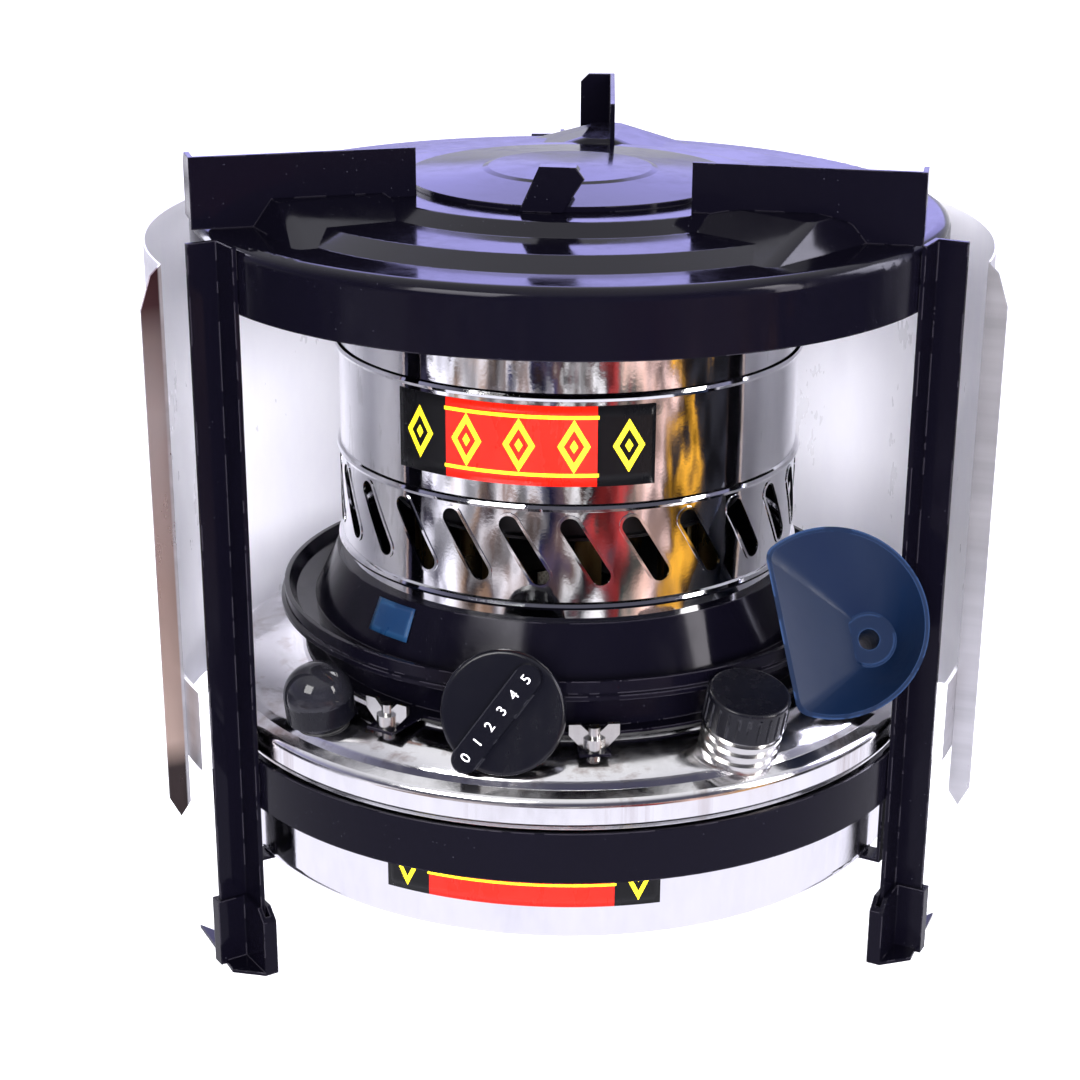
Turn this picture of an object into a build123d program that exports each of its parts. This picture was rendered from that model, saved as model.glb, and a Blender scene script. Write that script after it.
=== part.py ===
import math
import os

from build123d import *

os.makedirs("parts", exist_ok=True)

# Fits, sheets and tools
running_gap = 0.05
air_gap = 0.3
enamel_sheet = 0.8
frame_sheet = 1.5
strip_sheet = 1.2
shield_sheet = 0.6
drum_wall = 0.5
overrun = 1.0

# Azimuths in degrees, the front of the stove is at 270
left_az = 210
right_az = 330
rear_az = 90
knob_az = 257
filler_az = 297
gauge_az = 221
handle_az = 261
tunnel_azimuths = (204, 315, 79)

# Top plate
plate_r = 125
plate_opening_r = 50
seat_z = 255
seat_r = 68
middle_in_r = 75
middle_z = 251.5
middle_out_r = 97
rim_in_r = 107
rim_z = 248
skirt_z = 227
plate_bend_r = 4
riser_bend_r = 1.5
tunnel_z = 256.5
tunnel_top_in = 68
tunnel_top_out = 103
tunnel_base_in = 60
tunnel_base_out = 109
tunnel_top_half = 6
tunnel_base_half = 33
tunnel_corner_r = 4

# Pan supports, each blade runs straight and passes beside the stove's axis
support_z = 270.5
support_azimuths = (193.7, 346.6, 86.2)
support_offsets = (15.1, -43.9, -13.9)
support_starts = (55.7, 46.3, 57)
support_reach = 70
support_sheet = 1.6
support_flange_z = 250.5
support_flange_w = 12
support_chamfer = 3

# Legs and feet
leg_face_r = 125
leg_back = -4.6
leg_front = 8.4
leg_out_r = 136
shoe_gap = 0.1
shoe_z = 24
shoe_front = 13.2
shoe_chamfer = 4
base_sheet = 1.2
wing_r = 133
wing_back = -29
wing_corner_r = 136.5
wing_corner_front = 5

# Band and tank rests
band_z0 = 60
band_z1 = 77.2
rest_left_az = 207.5
rest_right_az = 328.7
rest_half = 4
rest_z1 = 76.5
rest_in_r = 108

# Wind shield
shield_r = 140
shield_end_az = 202
shield_z0 = 62
shield_z1 = 239
hem_w = 7
hem_z0 = 50
hem_sheet = 1.2
hem_slant = 14
clip_z0 = 72
clip_z1 = 100
clip_in_r = 128
clip_back = -31
clip_rivet_back = -25.5
clip_rivet_drop = 8
rivet_r = 1.5
rivet_head_r = 3
rivet_head_h = 0.8

# Tank
tank_r = 119
tank_z = 36.5
tank_corner_r = 4
tank_foot_r = 100
tank_foot_rise = 2.5
tank_wall_z = 83
seam_r = 122.8
seam_z0 = 76.7
seam_low_r = 121.6
seam_bulge_z = 79
seam_top_z = 86.5
seam_fold_r = 1
seam_bend_r = 2
shoulder_bend_r = 3
shoulder_r = 116
shoulder_z = 90.5
cone_top_r = 93
cone_top_z = 93.7
tank_seat_z = 94.5
tank_mouth_r = 78

# Filler
filler_r = 109
filler_tilt = 15
neck_r = 11.8
neck_wall = 1.4
neck_deep = -2
neck_hole_deep = -8
neck_top = 20
collar_r = 12.8
collar_starts = (2.2, 6.0, 9.6)
collar_share = 0.55
collar_h = 2.4
thread_r = 12.2
cap_r = 13
cap_bottom = 12.6
cap_top = 24
cap_roof = 2
cap_bore_gap = 0.2
cap_ribs = 24
cap_rib_r = 0.4
cap_seal_h = 1.6

# Fuel gauge
gauge_r = 109.5
gauge_tilt = 7.9
gauge_body_r = 11.3
gauge_foot_r = 8.5
gauge_foot_h = 3.4
gauge_wall = 1.2
gauge_seal_h = 0.8
gauge_top = 10.5
gauge_tail_r = 5
gauge_tail_z = -16
gauge_floor = 5.5
pointer_z = 7.5
pointer_h = 0.6
pointer_w = 1.6
pointer_hub_r = 1.6
spindle_r = 0.8
slot_w = 2.6
slot_top = -4
pivot_z = -12
pivot_r = 1
pivot_half = 4.2
arm_w = 2
arm_h = 3
float_reach = 37
float_drop = 13
float_r = 8
float_h = 12

# Burner neck, bowl and wick plate
neck_flange_r = 92
gasket_h = 1
gasket_in_r = 82
burner_sheet = 1
burner_neck_r = 87
brim_z = 108.5
brim_out_r = 98.6
brim_rise = 1.9
bowl_ring_r = 99.8
bowl_ring_z0 = 110.6
bowl_ring_z1 = 112.2
bowl_wall_r = 98.6
bowl_rim_z = 116.8
bowl_lip_w = 1.6
bowl_floor_r = 94.5
bowl_floor_z = 111.9
cone_foot_r = 88
ledge_r = 80
ledge_z = 129
collar_in_r = 76.6
collar_z = 132
stud_azimuths = (234, 272, 20, 130)
stud_ring_r = 104
stud_r = 2
stud_top_z = 104
lug_half = 5
lug_out_r = 108.5
nut_r = 3.6
nut_h = 4
wing_reach = 8
wing_top_z = 105
wing_t = 1.6

# Burner drum
drum_r = 77.8
drum_top_z = 240
drum_flange_r = 62
bead_r = 1.4
bead_shoulder_share = 0.7
bead_heights = (133.9, 166.8, 202.6)
slot_count = 25
slot_z0 = 141
slot_z1 = 163.5
drum_slot_w = 6.2
slot_slant = 31.5
slot_end_share = 0.15
slot_rim = 0.9
slot_rim_h = 0.35

# Wicks and flame tubes
wick_count = 10
wick_ring_r = 50
wick_r = 4
wick_gap = 0.1
tube_wall = 0.4
tube_z0 = 108
tube_z1 = 152
wick_z0 = 46
wick_z1 = 151
gallery_z = 149.5
gallery_in_r = 41
gallery_out_r = 60
outer_tube_r = 58
inner_tube_r = 42.6
flame_wall = 0.6
flame_top_z = 236
flame_hole_r = 1.6
flame_hole_rows = 5
flame_hole_columns = 14
spreader_r = 46
spreader_rise = 6
spreader_lip = 3

# Wick control, heights and depths along the knob's tilted axis
knob_centre_r = 115.5
knob_centre_z = 112.5
knob_tilt = 18
knob_r = 19.7
knob_face = 3
knob_back = 9
knob_bevel = 2.5
knob_edge_r = 1.5
hub_r = 8.5
hub_back = 11
grip_w = 8.6
grip_lean = 34
grip_tip = 22.5
grip_depth = 4
shaft_r = 2
shaft_start = 4
shaft_end = 58
screw_r = 1.4
screw_depth = 6
screw_length = 9
pinion_start = 51
pinion_end = 57.2
tooth_module = 1
pinion_teeth = 8
pinion_root_r = 2.9
pinion_tip_r = 4.8
tooth_sink_r = 2.3
tooth_half = 0.6
tooth_tip_half = 0.35
tooth_root_half = 0.85
mesh_gap = 0.1
rack_addendum = 0.8
rack_dedendum = 1.15
rack_tip_half = 0.31
rack_root_half = 1.0
rack_teeth = 6
rack_back = 8
rack_start = 53
rack_end = 58.6
bush_start = 25.5
bush_end = 35
bush_r = 3.4
bush_flange_r = 4.2
bush_flange_h = 1.2
carrier_in_r = 44
carrier_out_r = 57
carrier_z = 84
carrier_h = 6
carrier_arm_w = 3
carrier_arm_r = 67

# Lid
lid_r = 54
lid_rim_h = 1.8
lid_rim_w = 1.5
lid_step_r = 29
lid_step_z = 258.8
lid_dome_r = 27
lid_dome_z = 259.4
lid_crown_z = 260.2
handle_sheet = 1.2
handle_half = 6.8
handle_top_z = 269.2
handle_foot_r = 41
handle_lean = 3.4
handle_fold = 3.6
lid_rivet_r = 1.3
lid_rivet_pitch_r = 45.5
lid_rivet_head_r = 2.6

# Funnel
funnel_centre_r = 115.6
funnel_az = 314.06
funnel_z = 129.7
funnel_facing = 267
funnel_lift = 30
funnel_turn = 11.2
funnel_r = 31
funnel_flat = 16.6
funnel_wall = 1.5
funnel_corner_r = 5
funnel_depth = 16
funnel_floor_share = 0.34
spout_x = 12.5
spout_y = -6
spout_root_r = 6.6
spout_tip_r = 4.4
spout_bore_r = 3.4
spout_end = 57.5
funnel_ring_r = 8.2
funnel_ring_h = 0.8

# Derived sizes
seat_fit_r = shaft_r + running_gap
wick_step = 360 / wick_count
bore_of_tube = wick_r + wick_gap
tube_r = bore_of_tube + tube_wall
flange_z = tank_seat_z + gasket_h
flange_top_z = flange_z + burner_sheet
neck_bore_r = burner_neck_r - burner_sheet
wick_plate_z = brim_z + burner_sheet + running_gap * 2
lip_z = tank_z - strip_sheet
axis_ahead = (shield_r - plate_r) / 2
cone_fall = (shoulder_z - cone_top_z) / (shoulder_r - cone_top_r)
tooth_pitch = math.pi * tooth_module
pitch_r = tooth_module * pinion_teeth / 2


def around(shape, azimuth):
    return shape.rotate(Axis.Z, azimuth)


def polar(radius, azimuth, height):
    angle = math.radians(azimuth)
    return Vector(radius * math.cos(angle), radius * math.sin(angle), height)


def turned(points, corners=None, arc=360, frame=Plane.XY):
    outline = Plane(frame.origin, x_dir=frame.x_dir, z_dir=-frame.y_dir)
    with BuildPart() as piece:
        with BuildSketch(outline):
            with BuildLine():
                if corners is None:
                    Polyline(*points, close=True)
                else:
                    FilletPolyline(*points, radius=corners, close=True)
            make_face()
        revolve(axis=Axis(frame.origin, frame.z_dir), revolution_arc=arc)
    return piece.part


def prism(points, height, frame=Plane.XY, both=False):
    with BuildPart() as piece:
        with BuildSketch(frame):
            with BuildLine():
                Polyline(*points, close=True)
            make_face()
        extrude(amount=height, both=both)
    return piece.part


def rod(radius, start, end, frame=Plane.XY, x=0, y=0):
    with BuildPart() as piece:
        with BuildSketch(frame.offset(start)):
            with Locations((x, y)):
                Circle(radius)
        extrude(amount=end - start)
    return piece.part


def block(x0, x1, y0, y1, z0, z1, frame=Plane.XY):
    return prism([(x0, y0), (x1, y0), (x1, y1), (x0, y1)], z1 - z0, frame.offset(z0))


def spun(frame, angle):
    turn = math.radians(angle)
    x_dir = frame.x_dir * math.cos(turn) + frame.y_dir * math.sin(turn)
    return Plane(frame.origin, x_dir=x_dir, z_dir=frame.z_dir)


def tilted_frame(radius, azimuth, height, tilt):
    lean = math.radians(tilt)
    outward = polar(1, azimuth, 0)
    axis = outward * math.sin(lean) + Vector(0, 0, 1) * math.cos(lean)
    return Plane(polar(radius, azimuth, height), x_dir=outward.cross(axis).cross(axis), z_dir=axis)


def tank_top(radius):
    return shoulder_z + cone_fall * (radius - shoulder_r)


# Top plate: one pressed sheet, the difference of two stepped solids
def tunnel(drop):
    with BuildPart() as piece:
        with BuildSketch(Plane.XY.offset(rim_z - drop)):
            with Locations(((tunnel_base_in + tunnel_base_out) / 2, 0)):
                length = tunnel_base_out - tunnel_base_in - 2 * drop
                RectangleRounded(length, 2 * (tunnel_base_half - drop), tunnel_corner_r)
        with BuildSketch(Plane.XY.offset(tunnel_z - drop)):
            with Locations(((tunnel_top_in + tunnel_top_out) / 2, 0)):
                length = tunnel_top_out - tunnel_top_in - 2 * drop
                RectangleRounded(length, 2 * (tunnel_top_half - drop), tunnel_corner_r)
        loft()
    return piece.part


def stepped_disc(drop, opening_r, floor_z):
    bend = plate_bend_r - drop
    points = [
        (opening_r, floor_z),
        (opening_r, seat_z - drop),
        (seat_r, seat_z - drop),
        (middle_in_r, middle_z - drop),
        (middle_out_r, middle_z - drop),
        (rim_in_r, rim_z - drop),
        (plate_r - drop, rim_z - drop),
        (plate_r - drop, floor_z),
    ]
    soft = riser_bend_r
    return turned(points, [0, 0, soft, soft, soft, soft, bend, 0])


plate_outside = stepped_disc(0, plate_opening_r, skirt_z)
plate_inside = stepped_disc(enamel_sheet, plate_opening_r - overrun, skirt_z - overrun)
tunnels_outside = [around(tunnel(0), az) for az in tunnel_azimuths]
tunnels_inside = [around(tunnel(enamel_sheet), az) for az in tunnel_azimuths]

with BuildPart() as top_plate:
    add(plate_outside)
    add(tunnels_outside)
    add(plate_inside, mode=Mode.SUBTRACT)
    add(tunnels_inside, mode=Mode.SUBTRACT)


# Pan supports: a blade that stands on the plate's steps, with a flange folded at its outer end
def pan_support(side, fold):
    half = support_sheet / 2
    start = support_starts[side]
    end = start + support_reach
    blade = block(start, end + support_sheet, -half, half, rim_z, support_z)
    flange = prism(
        [
            (0, support_flange_z),
            (fold * support_flange_w, support_flange_z),
            (fold * support_flange_w, support_z - support_chamfer),
            (fold * (support_flange_w - support_chamfer), support_z),
            (0, support_z),
        ],
        support_sheet,
        Plane.YZ.offset(end),
    )
    beside = (blade + flange).moved(Location((0, support_offsets[side], 0)))
    return around(beside, support_azimuths[side]) - plate_outside - tunnels_outside[side]


with BuildPart() as pan_support_left:
    add(pan_support(0, -1))

with BuildPart() as pan_support_right:
    add(pan_support(1, 1))

with BuildPart() as pan_support_rear:
    add(pan_support(2, 1))


# Legs: angle section, flat inside face on the plate's skirt and the band
def leg(azimuth, front):
    out_face = leg_face_r + frame_sheet
    web = leg_back + frame_sheet
    points = [
        (leg_face_r, leg_back),
        (leg_out_r, leg_back),
        (leg_out_r, web),
        (out_face, web),
        (out_face, leg_front),
        (leg_face_r, leg_front),
    ]
    turned_points = [(x, front * y) for x, y in points]
    return around(prism(turned_points, rim_z - base_sheet, Plane.XY.offset(base_sheet)), azimuth)


with BuildPart() as leg_left:
    add(leg(left_az, 1))

with BuildPart() as leg_right:
    add(leg(right_az, -1))

with BuildPart() as leg_rear:
    add(leg(rear_az, 1))


# Feet: a folded shoe round the end of the leg on a plate with a wing
def foot(azimuth, front):
    wall = shoe_gap + frame_sheet
    in_r = leg_face_r - wall
    out_r = leg_face_r + frame_sheet + wall
    web = leg_back + frame_sheet + wall
    shell = [
        (in_r, leg_back - wall),
        (leg_out_r + wall, leg_back - wall),
        (leg_out_r + wall, web),
        (out_r, web),
        (out_r, shoe_front),
        (in_r, shoe_front),
    ]
    room = [
        (leg_face_r - shoe_gap, leg_back - shoe_gap),
        (leg_out_r + shoe_gap, leg_back - shoe_gap),
        (leg_out_r + shoe_gap, web - frame_sheet),
        (out_r - frame_sheet, web - frame_sheet),
        (out_r - frame_sheet, shoe_front - frame_sheet),
        (leg_face_r - shoe_gap, shoe_front - frame_sheet),
    ]
    wing = [
        (in_r, leg_back - wall),
        (in_r, shoe_front),
        (out_r, shoe_front),
        (wing_corner_r, wing_corner_front),
        (wing_r, wing_back),
    ]
    notch = [
        (shoe_front - shoe_chamfer, shoe_z + overrun),
        (shoe_front + overrun, shoe_z + overrun),
        (shoe_front + overrun, shoe_z - shoe_chamfer),
        (shoe_front, shoe_z - shoe_chamfer),
        (shoe_front - shoe_chamfer, shoe_z),
    ]
    side = [(front * y, z) for y, z in notch]
    body = prism([(x, front * y) for x, y in shell], shoe_z)
    body += prism([(x, front * y) for x, y in wing], base_sheet)
    body -= prism([(x, front * y) for x, y in room], shoe_z, Plane.XY.offset(base_sheet))
    body -= prism(side, leg_out_r, Plane.YZ)
    return around(body, azimuth)


with BuildPart() as foot_left:
    add(foot(left_az, 1))

with BuildPart() as foot_right:
    add(foot(right_az, -1))

with BuildPart() as foot_rear:
    add(foot(rear_az, 1))

# Lower band inside the legs
with BuildPart() as lower_band:
    with BuildSketch(Plane.XY.offset(band_z0)):
        Circle(leg_face_r)
        Circle(leg_face_r - strip_sheet, mode=Mode.SUBTRACT)
    extrude(amount=band_z1 - band_z0)


# Tank rests: strips inside the band with a lip under the tank
def tank_rest(azimuth):
    out_r = leg_face_r - strip_sheet - air_gap / 2
    strip = block(out_r - strip_sheet, out_r, -rest_half, rest_half, lip_z, rest_z1)
    lip = block(rest_in_r, out_r, -rest_half, rest_half, lip_z, tank_z)
    return around(strip + lip, azimuth)


with BuildPart() as tank_rest_left:
    add(tank_rest(rest_left_az))

with BuildPart() as tank_rest_right:
    add(tank_rest(rest_right_az))

with BuildPart() as tank_rest_rear:
    add(tank_rest(rear_az))

# Wind shield: rolled sheet with an outward flange folded at each end
shield_in_r = shield_r - shield_sheet
shield_arc = 2 * shield_end_az - 180
hem_back = shield_in_r + hem_w


def shield_end(azimuth):
    points = [
        (shield_in_r, shield_z0 - hem_slant / 2),
        (hem_back - hem_w / 2, hem_z0),
        (hem_back, hem_z0 + hem_slant / 2),
        (hem_back, shield_z1 - hem_slant),
        (hem_back - hem_w / 2, shield_z1 - hem_slant / 4),
        (shield_in_r, shield_z1),
    ]
    return around(prism(points, hem_sheet / 2, Plane.XZ, both=True), azimuth)


shield_wall = turned(
    [
        (shield_in_r, shield_z0),
        (shield_r, shield_z0),
        (shield_r, shield_z1),
        (shield_in_r, shield_z1),
    ],
    arc=shield_arc,
)


# Shield clips: a web on the leg's outward flange and a curved tab on the sheet
def clip(azimuth, front):
    tab_r = shield_in_r - strip_sheet
    web_end = leg_back - strip_sheet
    with BuildPart() as piece:
        with BuildSketch(Plane.XY.offset(clip_z0)):
            with BuildLine():
                Polyline(
                    (clip_in_r, front * web_end),
                    (clip_in_r, front * leg_back),
                    (shield_in_r, front * leg_back),
                    (shield_r, front * web_end),
                    (shield_r, front * clip_back),
                    (tab_r / 2 + shield_in_r / 2 - strip_sheet * 2, front * clip_back),
                    (tab_r / 2 + shield_in_r / 2 - strip_sheet * 2, front * web_end),
                    close=True,
                )
            make_face()
            Circle(shield_in_r, mode=Mode.INTERSECT)
        extrude(amount=clip_z1 - clip_z0)
    inner = rod(tab_r, clip_z0 - overrun, clip_z1 + overrun)
    keep = block(0, shield_r, front * web_end, front * shield_r, clip_z0, clip_z1)
    return around(piece.part - (inner - keep), azimuth)


def clip_frame(azimuth, front, height):
    back = math.degrees(math.asin(clip_rivet_back / shield_in_r))
    point = polar(shield_in_r - strip_sheet, azimuth + front * back, height)
    return Plane(point, x_dir=(0, 0, 1), z_dir=polar(1, azimuth + front * back, 0))


leg_sides = ((left_az, 1), (right_az, -1), (rear_az, 1))
clip_heights = (clip_z0 + clip_rivet_drop, clip_z1 - clip_rivet_drop)
clip_frames = [clip_frame(az, side, z) for az, side in leg_sides for z in clip_heights]
stack = strip_sheet + shield_sheet
rivet_holes = [rod(rivet_r + running_gap, -overrun, stack + overrun, f) for f in clip_frames]

with BuildPart() as wind_shield:
    add(around(shield_wall, 90 - shield_arc / 2))
    add(shield_end(shield_end_az))
    add(shield_end(180 - shield_end_az))
    add(rivet_holes, mode=Mode.SUBTRACT)

with BuildPart() as shield_clips:
    for az, side in leg_sides:
        add(clip(az, side))
    add(rivet_holes, mode=Mode.SUBTRACT)

with BuildPart() as shield_rivets:
    for spot in clip_frames:
        sunk = rivet_head_r**2 / (2 * shield_r)
        add(rod(rivet_r, -air_gap, stack + sunk, spot))
        add(rod(rivet_head_r, -rivet_head_h - sunk, -sunk / 2, spot))
        add(rod(rivet_head_r, stack + sunk / 8, stack + rivet_head_h + sunk, spot))

# Tank: a drawn lower shell and an upper shell that closes over it in a seam
filler_frame = tilted_frame(filler_r, filler_az, tank_top(filler_r), filler_tilt)
gauge_frame = tilted_frame(gauge_r, gauge_az, tank_top(gauge_r) + 2 * running_gap, gauge_tilt)
wall = enamel_sheet

with BuildPart() as tank_lower_shell:
    add(
        turned(
            [
                (0, tank_z + tank_foot_rise),
                (tank_foot_r, tank_z + tank_foot_rise),
                (tank_foot_r + tank_foot_rise, tank_z),
                (tank_r, tank_z),
                (tank_r, tank_wall_z),
                (tank_r - wall, tank_wall_z),
                (tank_r - wall, tank_z + wall),
                (tank_foot_r + tank_foot_rise, tank_z + wall),
                (tank_foot_r, tank_z + tank_foot_rise + wall),
                (0, tank_z + tank_foot_rise + wall),
            ],
            [0, wall, wall, tank_corner_r, 0, 0, tank_corner_r - wall, wall, wall, 0],
        )
    )

with BuildPart() as tank_upper_shell:
    add(
        turned(
            [
                (tank_r + running_gap, seam_z0),
                (seam_low_r, seam_z0),
                (seam_r, seam_bulge_z),
                (seam_r, seam_top_z),
                (shoulder_r, shoulder_z),
                (cone_top_r, cone_top_z),
                (neck_flange_r, tank_seat_z),
                (tank_mouth_r, tank_seat_z),
                (tank_mouth_r, tank_seat_z - wall),
                (neck_flange_r - wall, tank_seat_z - wall),
                (cone_top_r - wall, cone_top_z - wall),
                (shoulder_r - wall, shoulder_z - wall),
                (seam_r - wall, seam_top_z - wall),
                (seam_r - wall, seam_bulge_z),
                (seam_low_r - wall, seam_z0 + wall),
                (tank_r + running_gap, seam_z0 + wall),
            ],
            [0, seam_fold_r, seam_bend_r, shoulder_bend_r, shoulder_bend_r]
            + [0] * 6
            + [seam_bend_r, seam_bend_r, seam_fold_r, 0, 0],
        )
    )
    add(rod(neck_r + running_gap, neck_hole_deep, neck_top, filler_frame), mode=Mode.SUBTRACT)
    tail_hole = rod(gauge_tail_r + running_gap, gauge_tail_z, gauge_top, gauge_frame)
    add(tail_hole, mode=Mode.SUBTRACT)

# Filler neck with collars and thread ridges, its seal and the ribbed cap
thread_starts = [cap_bottom + collar_h * k for k in (1, 2)]
with BuildPart() as filler_neck:
    add(rod(neck_r, neck_deep, neck_top, filler_frame))
    for start in collar_starts:
        add(rod(collar_r, start, start + collar_h * collar_share, filler_frame))
    for start in thread_starts:
        add(rod(thread_r, start, start + collar_h * collar_share, filler_frame))
    bore = rod(neck_r - neck_wall, neck_deep - overrun, neck_top + overrun, filler_frame)
    add(bore, mode=Mode.SUBTRACT)

with BuildPart() as filler_seal:
    add(rod(neck_r - running_gap, neck_top, neck_top + cap_seal_h, filler_frame))

cap_outline = [
    (0, neck_top + cap_seal_h),
    (thread_r + cap_bore_gap, neck_top + cap_seal_h),
    (thread_r + cap_bore_gap, cap_bottom),
    (cap_r, cap_bottom),
    (cap_r, cap_top),
    (0, cap_top),
]
with BuildPart() as filler_cap:
    add(turned(cap_outline, [0, 0, 0, 0, cap_roof / 2, 0], frame=filler_frame))
    for k in range(cap_ribs):
        angle = math.radians(360 * k / cap_ribs)
        rib_x = cap_r * math.cos(angle)
        rib_y = cap_r * math.sin(angle)
        rib = rod(cap_rib_r, cap_bottom + cap_roof / 2, cap_top - cap_roof, filler_frame, rib_x, rib_y)
        add(rib)

# Fuel gauge: body with a slotted tail, seal, window, pointer, float and its arm
with BuildPart() as gauge_seal:
    add(rod(gauge_foot_r - air_gap, 0, gauge_seal_h, gauge_frame))
    add(rod(gauge_tail_r + air_gap, -overrun, gauge_top, gauge_frame), mode=Mode.SUBTRACT)

pivot_frame = Plane(
    gauge_frame.origin + gauge_frame.z_dir * pivot_z,
    x_dir=gauge_frame.x_dir,
    z_dir=gauge_frame.y_dir,
)
room_r = gauge_body_r - gauge_wall
body_outline = [
    (0, gauge_seal_h),
    (gauge_foot_r, gauge_seal_h),
    (gauge_body_r, gauge_foot_h),
    (gauge_body_r, gauge_top),
    (0, gauge_top),
]
with BuildPart() as gauge_body:
    add(turned(body_outline, frame=gauge_frame))
    add(rod(gauge_tail_r, gauge_tail_z, gauge_seal_h, gauge_frame))
    add(rod(room_r, gauge_floor, gauge_top + overrun, gauge_frame), mode=Mode.SUBTRACT)
    slot = block(-gauge_r, gauge_r, -slot_w / 2, slot_w / 2, 2 * gauge_tail_z, slot_top, gauge_frame)
    add(slot, mode=Mode.SUBTRACT)
    pivot_hole = rod(pivot_r + running_gap, -gauge_body_r, gauge_body_r, pivot_frame)
    add(pivot_hole, mode=Mode.SUBTRACT)
    spindle_hole = rod(spindle_r + running_gap, gauge_floor - cap_roof, gauge_top, gauge_frame)
    add(spindle_hole, mode=Mode.SUBTRACT)

dome = gauge_top + gauge_body_r
lens_outline = [
    (0, dome),
    (gauge_body_r, dome),
    (gauge_body_r, gauge_top),
    (room_r, gauge_top),
    (room_r, dome - gauge_wall),
    (0, dome - gauge_wall),
]
lens_bends = [0, gauge_body_r - air_gap, 0, 0, room_r - air_gap, 0]
with BuildPart() as gauge_lens:
    add(turned(lens_outline, lens_bends, frame=gauge_frame))

with BuildPart() as gauge_pointer:
    add(rod(spindle_r, gauge_floor - cap_roof, pointer_z + pointer_h, gauge_frame))
    add(rod(pointer_hub_r, pointer_z, pointer_z + pointer_h, gauge_frame))
    hand = room_r - 2 * air_gap
    half_hand = pointer_w / 2
    top = pointer_z + pointer_h
    add(block(-hand, spindle_r, -half_hand, half_hand, pointer_z, top, gauge_frame))

float_spot = gauge_frame.origin + gauge_frame.z_dir * pivot_z
float_centre = float_spot - polar(float_reach, gauge_az, float_drop)
arm_frame = Plane(
    float_spot,
    x_dir=float_centre - float_spot,
    z_dir=gauge_frame.y_dir,
)
arm_length = (float_centre - float_spot).length
with BuildPart() as float_arm:
    add(block(-arm_h / 2, arm_length - float_r, -arm_h / 2, arm_h / 2, -arm_w / 2, arm_w / 2, arm_frame))
    add(rod(pivot_r, -pivot_half, pivot_half, arm_frame))

float_frame = Plane(float_centre, z_dir=(0, 0, 1))
with BuildPart() as gauge_float:
    add(rod(float_r, -float_h / 2, float_h / 2, float_frame))
    end_cut = block(-arm_h, arm_length - float_r, -arm_h, arm_h, -arm_w, arm_w, arm_frame)
    add(end_cut, mode=Mode.SUBTRACT)

# Gasket and burner neck with lugs for the clamp studs
with BuildPart() as burner_gasket:
    with BuildSketch(Plane.XY.offset(tank_seat_z)):
        Circle(neck_flange_r - burner_sheet)
        Circle(gasket_in_r, mode=Mode.SUBTRACT)
    extrude(amount=gasket_h)

knob_outward = polar(math.cos(math.radians(knob_tilt)), knob_az, math.sin(math.radians(knob_tilt)))
knob_frame = Plane(
    polar(knob_centre_r, knob_az, knob_centre_z),
    x_dir=polar(1, knob_az + 90, 0),
    z_dir=knob_outward,
)

with BuildPart() as burner_neck:
    add(
        turned(
            [
                (neck_bore_r, flange_z),
                (neck_flange_r, flange_z),
                (neck_flange_r, flange_top_z),
                (burner_neck_r, flange_top_z),
                (burner_neck_r, brim_z),
                (brim_out_r, brim_z + brim_rise),
                (brim_out_r, brim_z + brim_rise + burner_sheet),
                (neck_bore_r, brim_z + burner_sheet),
            ]
        )
    )
    for az in stud_azimuths:
        lug = block(neck_flange_r - burner_sheet, lug_out_r, -lug_half, lug_half, flange_z, flange_top_z)
        hole = rod(stud_r + running_gap, tank_z, stud_top_z, Plane.XY, stud_ring_r)
        add(around(lug, az))
        add(around(hole, az), mode=Mode.SUBTRACT)
    add(rod(bush_r + running_gap, -bush_end, -bush_start, knob_frame), mode=Mode.SUBTRACT)

# Burner bowl: rolled ring, rim, trough and the cone that carries the drum
cone_in_r = cone_foot_r - burner_sheet
brim_top = brim_z + burner_sheet
brim_slope = brim_rise / (brim_out_r - burner_neck_r)
cone_foot_z = brim_top + brim_slope * (cone_in_r - neck_bore_r)
with BuildPart() as burner_bowl:
    add(
        turned(
            [
                (cone_in_r, cone_foot_z + running_gap),
                (brim_out_r, brim_top + brim_rise + running_gap),
                (brim_out_r + running_gap, bowl_ring_z0),
                (bowl_ring_r, bowl_ring_z0),
                (bowl_ring_r, bowl_ring_z1),
                (bowl_wall_r, bowl_ring_z1 + burner_sheet / 2),
                (bowl_wall_r, bowl_rim_z),
                (bowl_wall_r - bowl_lip_w, bowl_rim_z),
                (bowl_floor_r, bowl_floor_z + burner_sheet),
                (cone_foot_r, bowl_floor_z),
                (ledge_r, ledge_z),
                (collar_in_r + drum_wall, ledge_z),
                (collar_in_r, ledge_z + drum_wall),
                (collar_in_r, collar_z),
                (collar_in_r - burner_sheet, collar_z),
                (collar_in_r - burner_sheet, ledge_z - burner_sheet),
                (ledge_r - burner_sheet, ledge_z - burner_sheet),
            ]
        )
    )

wick_azimuths = [knob_az + wick_step * (k + 0.5) for k in range(wick_count)]
with BuildPart() as wick_plate:
    with BuildSketch(Plane.XY.offset(wick_plate_z)):
        Circle(cone_in_r - 2 * air_gap)
        with Locations([polar(wick_ring_r, az, 0) for az in wick_azimuths]):
            Circle(tube_r + running_gap, mode=Mode.SUBTRACT)
        Circle(gallery_in_r / 2, mode=Mode.SUBTRACT)
    extrude(amount=burner_sheet)

with BuildPart() as wick_tubes:
    with BuildSketch(Plane.XY.offset(tube_z0)):
        with Locations([polar(wick_ring_r, az, 0) for az in wick_azimuths]):
            Circle(tube_r)
            Circle(bore_of_tube, mode=Mode.SUBTRACT)
    extrude(amount=tube_z1 - tube_z0)

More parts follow.
